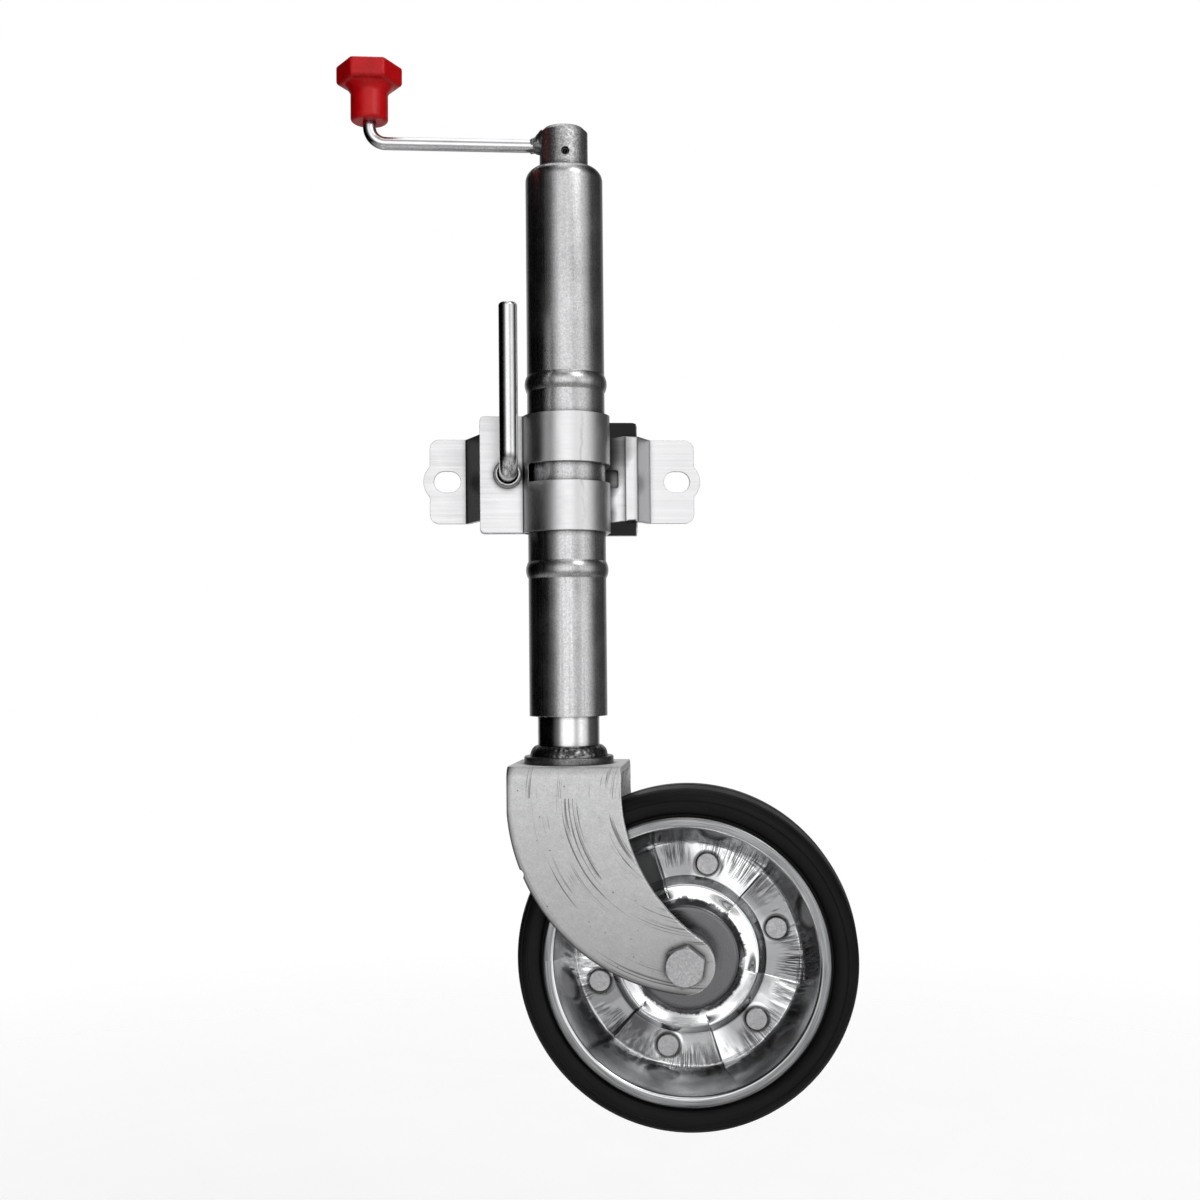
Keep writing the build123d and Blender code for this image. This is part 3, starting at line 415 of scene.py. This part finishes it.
def bright_rim():
    """Bright zinc pressing: duller dish and lip, fine brushing round the axle, radial press marks,
    painted reflections in two tones on the panels, a painted shadow round each rivet and painted shade
    on the sloping wall.

    Each pair is a slope between two radii, in metres.
    """
    dish_edge, lip_edge = (0.0340, 0.0352), (0.0795, 0.0805)
    fan_rise, fan_fall = (0.052, 0.060), (0.0675, 0.070)
    pressed_rise, pressed_fall = (0.043, 0.047), (0.0665, 0.0685)
    wall_rise, wall_fall = (0.0675, 0.0695), (0.0785, 0.0792)
    rivet_shadow_edge = (0.0078, 0.0088)  # edge of the painted shadow about each rivet
    sh = Shader("rim_zinc")
    round_axle = sh.polar(AXLE, TRAIL_DIR, (0, 0, 1))
    radius, angle, _ = sh.parts(round_axle)
    ragged = sh.noise(sh.scaled(round_axle, (0.0, 2.6, 1.0)), 1.0, detail=4.0, roughness=0.7)
    dish = sh.remap(sh.math("ADD", radius, sh.spread(ragged, -0.003, 0.003)), *dish_edge, 1.0, 0.0)
    lip = sh.remap(radius, *lip_edge, 0.0, 1.0)
    fan = sh.band(radius, fan_rise, fan_fall)
    rings = sh.noise(sh.scaled(round_axle, (1500.0, 3.0, 1.0)), 1.0, detail=3.0)
    streaks = sh.noise(sh.scaled(round_axle, (40.0, 90.0, 1.0)), 1.0, detail=2.0, roughness=0.7)
    bunches = sh.noise(sh.scaled(round_axle, (20.0, 3.2, 1.0)), 1.0, detail=1.0)
    bunches = sh.remap(bunches, 0.45, 0.60, 0.0, 1.0)
    streaks = sh.times(sh.remap(streaks, 0.50, 0.62, 0.0, 1.0), bunches)
    turns = sh.math("SUBTRACT", angle, RIVET_START)
    # -0.5 to 0.5 across each panel; the whole number only keeps the value positive
    panel = sh.math("FRACT", sh.math("ADD", sh.math("DIVIDE", turns, SECTOR), 6.5))
    panel = sh.math("SUBTRACT", panel, 0.5)
    along = sh.times(panel, SECTOR * RIVET_CIRCLE * MM)
    across = sh.math("SUBTRACT", radius, RIVET_CIRCLE * MM)
    rivet_shadow = sh.remap(sh.length(along, across), *rivet_shadow_edge, 0.85, 0.0)
    clouds = sh.noise(sh.place, 55.0, detail=4.0)
    base = sh.mix(sh.spread(clouds), (0.74, 0.75, 0.76), (0.93, 0.94, 0.95))
    # painted reflection: two tones to a panel, dark and light, from a noise that jumps at each half
    # panel
    wedge = sh.nodes.new("ShaderNodeCombineXYZ")
    half_panel = sh.math("FLOOR", sh.times(turns, 2 / SECTOR))
    sh.put(wedge.inputs["X"], sh.times(half_panel, 3.7))
    sh.put(wedge.inputs["Y"], sh.times(turns, 1.3))
    sh.put(wedge.inputs["Z"], sh.times(radius, 22.0))
    panel_reflection = sh.remap(sh.noise(wedge.outputs["Vector"], 1.0, detail=1.0), 0.42, 0.60, 0.80, 0.0)
    pressed = sh.band(radius, pressed_rise, pressed_fall)
    base = sh.mix(sh.times(panel_reflection, pressed), base, (0.10, 0.10, 0.105))
    base = sh.mix(dish, base, (0.13, 0.13, 0.135))
    lip_rings = sh.remap(rings, 0.35, 0.65, 0.0, 1.0)
    base = sh.mix(lip, base, sh.mix(lip_rings, (0.16, 0.165, 0.17), (0.36, 0.365, 0.37)))
    base = sh.mix(sh.times(sh.times(streaks, 0.8), fan), base, (0.12, 0.12, 0.125))
    # painted shadow round each rivet
    base = sh.mix(rivet_shadow, base, (0.05, 0.05, 0.05))
    # painted shade on the sloping wall, broken up in sweeps round the wheel
    wall = sh.band(radius, wall_rise, wall_fall)
    round_sweeps = sh.noise(sh.scaled(round_axle, (60.0, 1.3, 1.0)), 1.0, detail=3.0)
    round_sweeps = sh.remap(round_sweeps, 0.38, 0.60, 0.35, 0.95)
    base = sh.mix(sh.times(wall, round_sweeps), base, (0.20, 0.20, 0.205))
    rough = sh.math("ADD", sh.spread(clouds, 0.10, 0.17), sh.spread(rings, -0.02, 0.05))
    rough = sh.math("ADD", rough, sh.math("ADD", sh.times(dish, 0.12), sh.times(lip, 0.16)))
    normal = sh.bump(rings, 0.000010)
    normal = sh.bump(sh.times(streaks, fan), 0.0002, normal=normal)
    sh.surface(Base_Color=base, Metallic=1.0, Roughness=rough, Normal=normal)
    return sh.material


def black_rubber():
    """Solid tyre: near-black, fine mould grain, slightly polished patches and a trace of dust."""
    sh = Shader("rubber")
    grain = sh.noise(sh.place, 1400.0, detail=3.0, roughness=0.7)
    round_axle = sh.polar(AXLE, TRAIL_DIR, (0, 0, 1))
    round_sweeps = sh.noise(sh.scaled(round_axle, (160.0, 3.0, 1.0)), 1.0, detail=4.0)
    base = sh.mix(sh.remap(round_sweeps, 0.35, 0.75, 0.0, 1.0), (0.006, 0.006, 0.006), (0.012, 0.012, 0.012))
    dust = sh.times(sh.remap(sh.cells(sh.place, 120.0), 0.03, 0.07, 1.0, 0.0), 0.3)
    base = sh.mix(dust, base, (0.06, 0.06, 0.06))
    sh.surface(Base_Color=base, Roughness=sh.spread(round_sweeps, 0.40, 0.55), Specular_IOR_Level=0.11,
               Normal=sh.bump(grain, 0.00005))
    return sh.material


def red_plastic():
    """Glossy red moulding: slight colour depth, faint flow marks and painted highlights on its rounded
    edges.
    """
    sh = Shader("knob_red")
    flow = sh.noise(sh.place, 120.0, detail=4.0, distortion=0.6)
    round_edge, edge = sh.edges(0.0022)
    base = sh.mix(sh.spread(flow), (0.52, 0.002, 0.004), (0.68, 0.004, 0.007))
    # painted highlight on the rounded edges
    base = sh.mix(sh.times(edge, 0.35), base, (0.80, 0.03, 0.03))
    normal = sh.bump(sh.noise(sh.place, 380.0, detail=2.0), 0.00006, strength=0.6, normal=round_edge)
    sh.surface(Base_Color=base, Roughness=sh.spread(flow, 0.26, 0.36), Specular_IOR_Level=0.28,
               Normal=normal)
    return sh.material


def weld_metal():
    """Weld bead: dark, glassy ripples with burnt and bright spots."""
    sh = Shader("weld")
    lumps = sh.noise(sh.place, 380.0, detail=4.0)
    base = sh.mix(sh.remap(lumps, 0.42, 0.62, 0.0, 1.0), (0.05, 0.05, 0.05), (0.30, 0.30, 0.31))
    sh.surface(Base_Color=base, Metallic=1.0, Roughness=sh.spread(lumps, 0.45, 0.22),
               Normal=sh.bump(lumps, 0.0003, strength=0.7))
    return sh.material


def greased_thread():
    """Dark cut steel under a film of grease."""
    sh = Shader("spindle_steel")
    film = sh.noise(sh.place, 180.0, detail=4.0)
    base = sh.mix(sh.remap(film, 0.35, 0.65, 0.0, 1.0), (0.20, 0.17, 0.13), (0.42, 0.41, 0.40))
    sh.surface(Base_Color=base, Metallic=1.0, Roughness=sh.remap(film, 0.35, 0.65, 0.18, 0.4),
               Normal=sh.bump(film, 0.0001), Coat_Weight=0.4)
    return sh.material


def moulded(name, colour, roughness):
    """Plain engineering plastic or sintered metal with a fine grain."""
    sh = Shader(name)
    grain = sh.noise(sh.place, 600.0, detail=3.0)
    base = sh.mix(sh.spread(grain), shade(colour, 0.9), shade(colour, 1.06))
    sh.surface(Base_Color=base, Roughness=roughness, Normal=sh.bump(grain, 0.00003))
    return sh.material


def bronze_metal():
    """Sintered bronze with a fine grain."""
    sh = Shader("bronze")
    grain = sh.noise(sh.place, 900.0, detail=4.0)
    base = sh.mix(sh.spread(grain), (0.42, 0.26, 0.10), (0.72, 0.48, 0.22))
    sh.surface(Base_Color=base, Metallic=1.0, Roughness=0.35, Normal=sh.bump(grain, 0.00003))
    return sh.material


MATERIALS = {
    "bracket_zinc": bracket_plate(),
    "tube_zinc": plated_steel("tube_zinc", (0.60, 0.60, 0.61), 0.28, ALONG_Z, grain_depth=0.000006,
                              cloud=0.12, speck=0.6, streak=0.18, pitting=0.35),
    "rod_zinc": plated_steel("rod_zinc", (0.72, 0.72, 0.73), 0.17, EVEN, grain_depth=0.000006,
                             cloud=0.06, speck=0.3, streak=0.10, pitting=0.05),
    "fastener_zinc": plated_steel("fastener_zinc", (0.50, 0.50, 0.51), 0.38, EVEN, grain_depth=0.0001,
                                  cloud=0.16, speck=0.9, worn=0.7, streak=0.35, pitting=0.30),
    "hub_zinc": plated_steel("hub_zinc", (0.62, 0.62, 0.63), 0.38, EVEN, grain_depth=0.0001,
                             cloud=0.16, speck=0.9, worn=0.7, streak=0.45, pitting=0.75),
    # a darker zinc; on the swivel flange it is painted shade
    "dull_zinc": plated_steel("dull_zinc", (0.28, 0.28, 0.285), 0.34, EVEN, grain_depth=0.0001,
                              cloud=0.2, speck=0.6, worn=0.8, streak=0.4, pitting=0.6),
    "bearing_steel": plated_steel("bearing_steel", (0.56, 0.57, 0.58), 0.2, EVEN, speck=0.1),
    "fork_galvanised": galvanised_fork(),
    "rim_zinc": bright_rim(),
    "weld": weld_metal(),
    "bronze": bronze_metal(),
    "spindle_steel": greased_thread(),
    "nylon": moulded("nylon", (0.80, 0.79, 0.74), 0.45),
    "knob_red": red_plastic(),
    "rubber": black_rubber(),
}
# nodes whose look differs from that of their slot; on the swivel flange the darker zinc is painted
# shade
LOOKS = {"swivel_flange": "dull_zinc", "hub_pin": "dull_zinc", "crank_hub": "hub_zinc"}

for subpart in frame["record"]["subparts"]:
    for material_slot in frame["nodes"][subpart["node"]].material_slots:
        material_slot.material = MATERIALS[subpart["material_slot"]]
for node_name, look in LOOKS.items():
    frame["nodes"][node_name].material_slots[0].material = MATERIALS[look]


# ---------------------------------------------------------------- mesh helpers

def new_piece(name, vertices, faces, slot_name, body, node, sharp):
    """Make a smooth-shaded piece that rides on a body and stands for a CAD node.

    Edges sharper than sharp degrees stay hard.
    """
    mesh = bpy.data.meshes.new(name)
    mesh.from_pydata(vertices, [], faces)
    mesh.polygons.foreach_set("use_smooth", [True] * len(mesh.polygons))
    mesh.set_sharp_from_angle(angle=math.radians(sharp))
    mesh.materials.append(MATERIALS[slot_name])
    mesh.update()
    piece = bpy.data.objects.new(name, mesh)
    bpy.context.scene.collection.objects.link(piece)
    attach(piece, body)
    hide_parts(node)
    return piece


def ring_faces(rows, columns):
    """Quads of a grid of points that closes on itself both ways."""
    faces = []
    for row in range(rows):
        here, above = row * columns, (row + 1) % rows * columns
        for column in range(columns):
            across = (column + 1) % columns
            faces.append((here + column, above + column, above + across, here + across))
    return faces


def revolve(profile, place, steps, displace=None):
    """Turn a closed profile of (radius, height) in mm about a frame's z axis.

    The profile runs anticlockwise with radius to the right and height up, which makes the faces look
    outwards. displace takes radius, height and angle, and returns the changed radius and height.
    """
    vertices = []
    for step in range(steps):
        angle = 2 * math.pi * step / steps
        for radius, height in profile:
            r, h = displace(radius, height, angle) if displace else (radius, height)
            point = Vector((r * math.cos(angle) * MM, r * math.sin(angle) * MM, h * MM))
            vertices.append(place @ point)
    return vertices, ring_faces(steps, len(profile))


def rounded(points, radius, steps=5):
    """A path of points with its corners rounded."""
    path = [Vector(points[0])]
    for before, corner, after in zip(points, points[1:], points[2:]):
        before, corner, after = Vector(before), Vector(corner), Vector(after)
        back, ahead = (before - corner), (after - corner)
        turn = math.pi - back.angle(ahead)
        reach = min(radius * math.tan(turn / 2), back.length * 0.48, ahead.length * 0.48)
        start = corner + back.normalized() * reach
        end = corner + ahead.normalized() * reach
        for k in range(steps + 1):
            t = k / steps
            path.append(start.lerp(corner, t).lerp(corner.lerp(end, t), t))
    path.append(Vector(points[-1]))
    return path


def dense(path, longest):
    """The same path with no step longer than a length."""
    out = [path[0]]
    for a, b in zip(path, path[1:]):
        count = max(1, math.ceil((b - a).length / longest))
        out += [a.lerp(b, (k + 1) / count) for k in range(count)]
    return out


def thicken(path, thickness):
    """Closed outline of a plate whose middle follows a path, anticlockwise."""
    left, right = [], []
    for k, point in enumerate(path):
        ahead = path[min(k + 1, len(path) - 1)] - path[max(k - 1, 0)]
        normal = Vector((-ahead.y, ahead.x)).normalized() * thickness / 2
        left.append(point + normal)
        right.append(point - normal)
    return right + left[::-1]


def smooth_step(low, high, value):
    """0 to 1 with an even start and end; low may be the higher of the two."""
    t = min(max((value - low) / (high - low), 0.0), 1.0)
    return t * t * (3 - 2 * t)


# ---------------------------------------------------------------- wheel

# in mm
RIM_PLATE = 2.0
RIM_BORE_R = 16.0
RIM_STEPS = 720
RIM_MIDDLE = [(RIM_BORE_R + 0.05, 12.0), (30.0, 12.0), (34.0, 7.0), (42.0, 7.0), (47.0, 1.0),
              (68.5, 1.0), (78.9, 24.2), (79.6, 25.9), (84.4, 26.0), (84.5, 23.6)]
PANEL_RISE, PANEL_BOW, PANEL_LEAN = 1.1, 2.3, 2.6
PANEL_STEP = 0.014  # share of a panel that the step at its end takes
PANEL_INNER_R, PANEL_OUTER_R = (36.0, 43.0), (68.4, 66.6)
RIVET_FLAT = (7.6, 10.0)
DEEPEST_PRESS = -0.25
TYRE_STEPS = 256
# half of the tyre's outline, from the bead round the wall and the moulded rings to the tread
TYRE_HALF = [
    (70.2, 0.0), (79.3, 22.4), (86.4, 22.4), (87.6, 24.6), (90.5, 25.8), (94.2, 25.9), (94.5, 25.5),
    (95.0, 25.5), (95.3, 25.8), (97.6, 25.0), (97.8, 24.6), (98.3, 24.4), (98.6, 24.5), (100.4, 22.6),
    (101.5, 18.5), (101.95, 8.0), (102.0, 0.5), (102.25, 0.0),
]


def sector_press(radius, angle, seed):
    """Height in mm of the six pressed panels.

    Each is a shallow trough round the wheel, with a step at its end and a flat seat for its rivet.
    """
    from_start = angle - RIVET_START + SECTOR / 2
    turned = from_start % SECTOR / SECTOR  # 0 at a panel's clockwise end, 1 at its other
    index = int(from_start % (2 * math.pi) // SECTOR)
    trough = PANEL_RISE + PANEL_BOW * (2 * turned - 1) ** 2 - PANEL_LEAN * turned
    edge = smooth_step(0.0, PANEL_STEP, turned) * smooth_step(1.0, 1 - PANEL_STEP, turned)
    flat = smooth_step(*PANEL_INNER_R, radius) * smooth_step(*PANEL_OUTER_R, radius)
    from_rivet = math.hypot((turned - 0.5) * SECTOR * radius, radius - RIVET_CIRCLE)
    clear = smooth_step(*RIVET_FLAT, from_rivet)
    wrinkle = noise.noise(Vector((angle * 22, radius * 0.12, seed + index * 5.3)))
    return (trough * edge * clear + 0.35 * wrinkle * smooth_step(52, 60, radius)) * flat


def rim_half(name, node, side):
    """One pressed rim half, near (side 1) or far (side -1).

    It has a dished hub, six sectors, a flared wall and a rolled lip.
    """
    seed = random.Random(7).uniform(0, 40)
    path = dense(rounded(RIM_MIDDLE, 2.2), 1.0)
    profile = [(point.x, point.y) for point in thicken(path, RIM_PLATE)]

    def displace(radius, height, angle):
        return radius, side * (height + max(sector_press(radius, angle, seed), DEEPEST_PRESS))

    vertices, faces = revolve(profile, WHEEL, RIM_STEPS, displace)
    if side < 0:  # the mirrored half needs its faces turned over
        faces = [face[::-1] for face in faces]
    new_piece(name, vertices, faces, "rim_zinc", "road_wheel", node, sharp=28)


rim_half("rim_face_near", "rim_outer_half", 1)
rim_half("rim_face_far", "rim_inner_half", -1)


def tyre():
    """Solid tyre: rounded tread, moulded rings on its shoulders, a fine seam round the middle."""
    mirrored = [(radius, -height) for radius, height in TYRE_HALF[-2:0:-1]]
    other_half = [Vector(point) for point in mirrored + TYRE_HALF[:1]][::-1]
    profile = [(p.x, p.y) for p in dense([Vector(p) for p in TYRE_HALF[::-1]], 2.0)][:-1]
    profile += [(p.x, p.y) for p in dense(other_half, 2.0)]
    vertices, faces = revolve(profile, WHEEL, TYRE_STEPS)
    new_piece("tyre_rubber", vertices, faces, "rubber", "road_wheel", "tyre", sharp=50)


tyre()


# ---------------------------------------------------------------- welds

LEG_R = 19.0  # outside of the inner tube, in mm
SINK = 0.3  # how far a bead reaches into the tube


def foot_weld():
    """Rippled weld bead in the corner between the inner tube and the disc under it."""
    low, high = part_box("tube_weld")
    width, height = (high.x - low.x) / 2 / MM - LEG_R, (high.z - low.z) / MM
    steps, ripples, ripple = 288, 46, 0.10
    offset = random.Random(3).uniform(0, 50)
    points = [(LEG_R - SINK, 0.0), (LEG_R + width, 0.0)]
    for k in range(1, 8):
        t = k / 8 * math.pi / 2
        points.append((LEG_R + width * math.cos(t) * 0.98, height * math.sin(t) * 0.98))
    points.append((LEG_R - SINK, height))

    def displace(radius, level, angle):
        out = max(radius - LEG_R, 0.0) / width + max(level, 0.0) / height
        if out < 0.2:
            return radius, level
        cos, sin = math.cos(angle), math.sin(angle)
        wobble = 1.5 * noise.noise(Vector((angle * 3, offset, 0)))
        wave = 0.5 + 0.5 * math.sin(angle * ripples + wobble)
        drift = noise.noise(Vector((cos * 2.5, sin * 2.5, offset)))
        fleck = noise.noise(Vector((cos * 9, sin * 9, offset + level * 0.6)))
        swell = ripple * wave + 0.4 * drift + 0.2 * fleck - 0.4
        grow = smooth_step(0.0, 0.6, level / height)
        raised = level + swell * 0.7 * grow if level > 0 else level
        return radius + swell * min(out, 1.0) * (1 - 0.5 * grow), raised

    vertices, faces = revolve(points, Matrix.Translation((TUBE_X, TUBE_Y, low.z)), steps, displace)
    new_piece("foot_weld_bead", vertices, faces, "weld", "inner_leg", "tube_weld", sharp=60)


def arm_weld():
    """Flared weld that swells from the crank arm onto the hub, higher above the arm than below it."""
    hub_low, hub_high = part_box("crank_hub")
    arm_low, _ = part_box("crank_arm")
    hub_r = (hub_high.x - hub_low.x) / 2 / MM
    arm_r = 4.0
    arm_z = arm_low.z / MM + arm_r
    start_x = -hub_r - 7.0
    flare, more_above, less_below = 6.5, 4.0, 1.0
    rows, columns = 16, 48
    vertices, faces = [], []
    for row in range(rows + 1):
        along = row / rows
        grown = smooth_step(0.0, 0.25, along)
        for column in range(columns):
            angle = 2 * math.pi * column / columns
            up = math.sin(angle)
            spread = flare + (more_above if up > 0 else less_below) * up
            lumps = noise.noise(Vector((along * 3, math.cos(angle) * 3, up * 3)))
            rough = lumps * 0.9 * min(1.0, 4 * along)
            ripple = 0.18 * math.sin(along * 34 + angle * 2)
            radius = arm_r - 0.15 + (spread - arm_r) * along ** 1.8 + (rough + ripple) * grown
            y, z = radius * math.cos(angle), radius * up
            wall_x = -math.sqrt(max(hub_r ** 2 - y ** 2, 0.0)) + 0.5
            x = start_x + (wall_x - start_x) * along
            vertices.append(Vector((TUBE_X + x * MM, TUBE_Y + y * MM, (arm_z + z) * MM)))
    for here in range(0, rows * columns, columns):
        for column in range(columns):
            across = (column + 1) % columns
            faces.append((here + column, here + across,
                          here + columns + across, here + columns + column))
    faces.append(tuple(reversed(range(columns))))
    faces.append(tuple(range(rows * columns, (rows + 1) * columns)))
    piece = new_piece("arm_weld_bead", vertices, faces, "weld", "crank", "crank_weld", sharp=60)
    piece.data.materials[0] = MATERIALS["dull_zinc"]


foot_weld()
arm_weld()


# ---------------------------------------------------------------- stage, light and camera

def floor():
    """Pale floor that fades into the background, low enough for the wheel at the end of its travel."""
    sh = Shader("floor")
    drop = JOINTS["lift_slide"]["range_m"][1] - JOINTS["tube_slide"]["range_m"][0]
    centre = Vector((TUBE_X, TUBE_Y, cad_low.z - drop - 0.001))
    radius = sh.parts(sh.polar(centre, (1, 0, 0), (0, 1, 0)))[0]
    fade = sh.remap(radius, 0.45, 1.5, 1.0, 0.0)
    grain = sh.noise(sh.place, 14.0, detail=3.0)
    seen = sh.nodes.new("ShaderNodeLightPath").outputs["Is Camera Ray"]
    pale = sh.mix(grain, (0.86, 0.86, 0.86), (0.90, 0.90, 0.90))
    # bright cards that only reflections show
    cards = sh.noise(sh.scaled(sh.place, (22.0, 10.0, 1.0)), 1.0, detail=1.0)
    cards = sh.times(sh.remap(cards, 0.49, 0.56, 0.0, 1.25), 0.9)
    glow = sh.math("ADD", sh.times(seen, 0.62), sh.times(sh.math("SUBTRACT", 1.0, seen), cards))
    sh.surface(Base_Color=sh.mix(seen, (0.16, 0.16, 0.16), pale), Roughness=0.7, Alpha=fade,
               Emission_Color=pale, Emission_Strength=glow)
    size = 1.6
    mesh = bpy.data.meshes.new("floor")
    corners = [(-size, -size, 0), (size, -size, 0), (size, size, 0), (-size, size, 0)]
    mesh.from_pydata([Vector(corner) + centre for corner in corners], [], [(0, 1, 2, 3)])
    mesh.materials.append(sh.material)
    plane = bpy.data.objects.new("floor", mesh)
    bpy.context.scene.collection.objects.link(plane)


# Degrees from the viewer's side, positive to the right, and how bright the studio is there.
AROUND = (
    (-180, 0.50), (-160, 0.32), (-140, 0.0), (-66, 0.0), (-44, 0.10), (-20, 0.95), (6, 1.0),
    (25, 0.42), (43, 0.85), (58, 0.60), (82, 0.05), (130, 0.03), (158, 0.32), (180, 0.50),
)
# The same by height, from 0 straight down through 0.5 at the horizon to 1 straight up.
ABOVE = ((0.30, 0.25), (0.42, 0.95), (0.50, 1.0), (0.60, 0.92), (0.70, 0.62), (0.82, 0.12), (1.0, 0.05))
STUDIO_STRENGTH = 1.75


def studio():
    """Soft lights in front and behind with dark sides between them; the camera sees white."""
    world = bpy.data.worlds.new("studio")
    world.use_nodes = True
    bpy.context.scene.world = world
    nodes, links = world.node_tree.nodes, world.node_tree.links
    nodes.clear()
    direction = nodes.new("ShaderNodeTexCoord").outputs["Generated"]
    split = nodes.new("ShaderNodeSeparateXYZ")
    links.new(direction, split.inputs["Vector"])
    flip = nodes.new("ShaderNodeMath")
    flip.operation = "MULTIPLY"
    flip.inputs[1].default_value = -1.0
    links.new(split.outputs["Y"], flip.inputs[0])
    azimuth = nodes.new("ShaderNodeMath")
    azimuth.operation = "ARCTAN2"
    links.new(split.outputs["X"], azimuth.inputs[0])
    links.new(flip.outputs["Value"], azimuth.inputs[1])
    turn = nodes.new("ShaderNodeMapRange")
    turn.inputs["From Min"].default_value = -math.pi
    turn.inputs["From Max"].default_value = math.pi
    links.new(azimuth.outputs["Value"], turn.inputs["Value"])
    around = nodes.new("ShaderNodeValToRGB")
    around.color_ramp.interpolation = "EASE"
    ramp = around.color_ramp.elements
    ramp[0].position = 0.0
    ramp[1].position = 1.0
    for degrees, _ in AROUND[1:-1]:
        ramp.new((degrees + 180) / 360)
    for element, (_, level) in zip(ramp, AROUND):
        element.color = (level, level, level, 1)
    links.new(turn.outputs["Result"], around.inputs["Fac"])
    above = nodes.new("ShaderNodeValToRGB")
    for position, level in ABOVE:
        element = above.color_ramp.elements.new(position)
        element.color = (level, level, level, 1)
    above.color_ramp.elements[0].color = (0.3, 0.3, 0.3, 1)
    lift = nodes.new("ShaderNodeMapRange")
    lift.inputs["From Min"].default_value = -1.0
    links.new(split.outputs["Z"], lift.inputs["Value"])
    links.new(lift.outputs["Result"], above.inputs["Fac"])
    product = nodes.new("ShaderNodeMix")
    product.data_type = "RGBA"
    product.blend_type = "MULTIPLY"
    product.inputs["Factor"].default_value = 1.0
    links.new(around.outputs["Color"], product.inputs[6])
    links.new(above.outputs["Color"], product.inputs[7])
    lit = nodes.new("ShaderNodeBackground")
    lit.inputs["Strength"].default_value = STUDIO_STRENGTH
    links.new(product.outputs[2], lit.inputs["Color"])
    seen = nodes.new("ShaderNodeBackground")
    seen.inputs["Color"].default_value = (1, 1, 1, 1)
    path = nodes.new("ShaderNodeLightPath")
    blend = nodes.new("ShaderNodeMixShader")
    links.new(path.outputs["Is Camera Ray"], blend.inputs["Fac"])
    links.new(lit.outputs["Background"], blend.inputs[1])
    links.new(seen.outputs["Background"], blend.inputs[2])
    output = nodes.new("ShaderNodeOutputWorld")
    links.new(blend.outputs["Shader"], output.inputs["Surface"])


def area_light(name, position, target, size, power):
    """A round lamp that faces a target; size in metres, power in watts."""
    light = bpy.data.lights.new(name, "AREA")
    light.shape = "DISK"
    light.size = size
    light.energy = power
    lamp = bpy.data.objects.new(name, light)
    lamp.location = position
    lamp.rotation_euler = (Vector(target) - Vector(position)).to_track_quat("-Z", "Y").to_euler()
    bpy.context.scene.collection.objects.link(lamp)


def camera():
    """The viewer stands about 0.9 m in front of the tube, a little to the left and level with the fork.

    The place, angles and lens were solved from points in the photo.
    """
    turn, tilt, roll = math.radians(5), math.radians(2), math.radians(0.55)
    right = Vector((math.cos(turn), -math.sin(turn), 0))
    level = Vector((math.sin(turn), math.cos(turn), 0))
    forward = level * math.cos(tilt) + Vector((0, 0, math.sin(tilt)))
    up = right.cross(forward)
    right, up = (right * math.cos(roll) - up * math.sin(roll),
                 up * math.cos(roll) + right * math.sin(roll))
    place = Vector((TUBE_X - 0.0585, TUBE_Y - 0.8983, -0.109))
    data = bpy.data.cameras.new("camera")
    data.lens = 43.74
    data.sensor_width = 36
    data.clip_start = 0.01
    viewer = bpy.data.objects.new("camera", data)
    turned = Matrix((right, up, -forward)).transposed().to_4x4()
    viewer.matrix_world = Matrix.Translation(place) @ turned
    bpy.context.scene.collection.objects.link(viewer)
    bpy.context.scene.camera = viewer


floor()
studio()
middle = (TUBE_X, TUBE_Y, -0.08)
area_light("key", (0.9, -1.5, 1.3), middle, 1.0, 9)
area_light("top", (0.0, 0.3, 1.7), middle, 1.4, 5)
camera()
bpy.context.scene.view_settings.view_transform = "Standard"
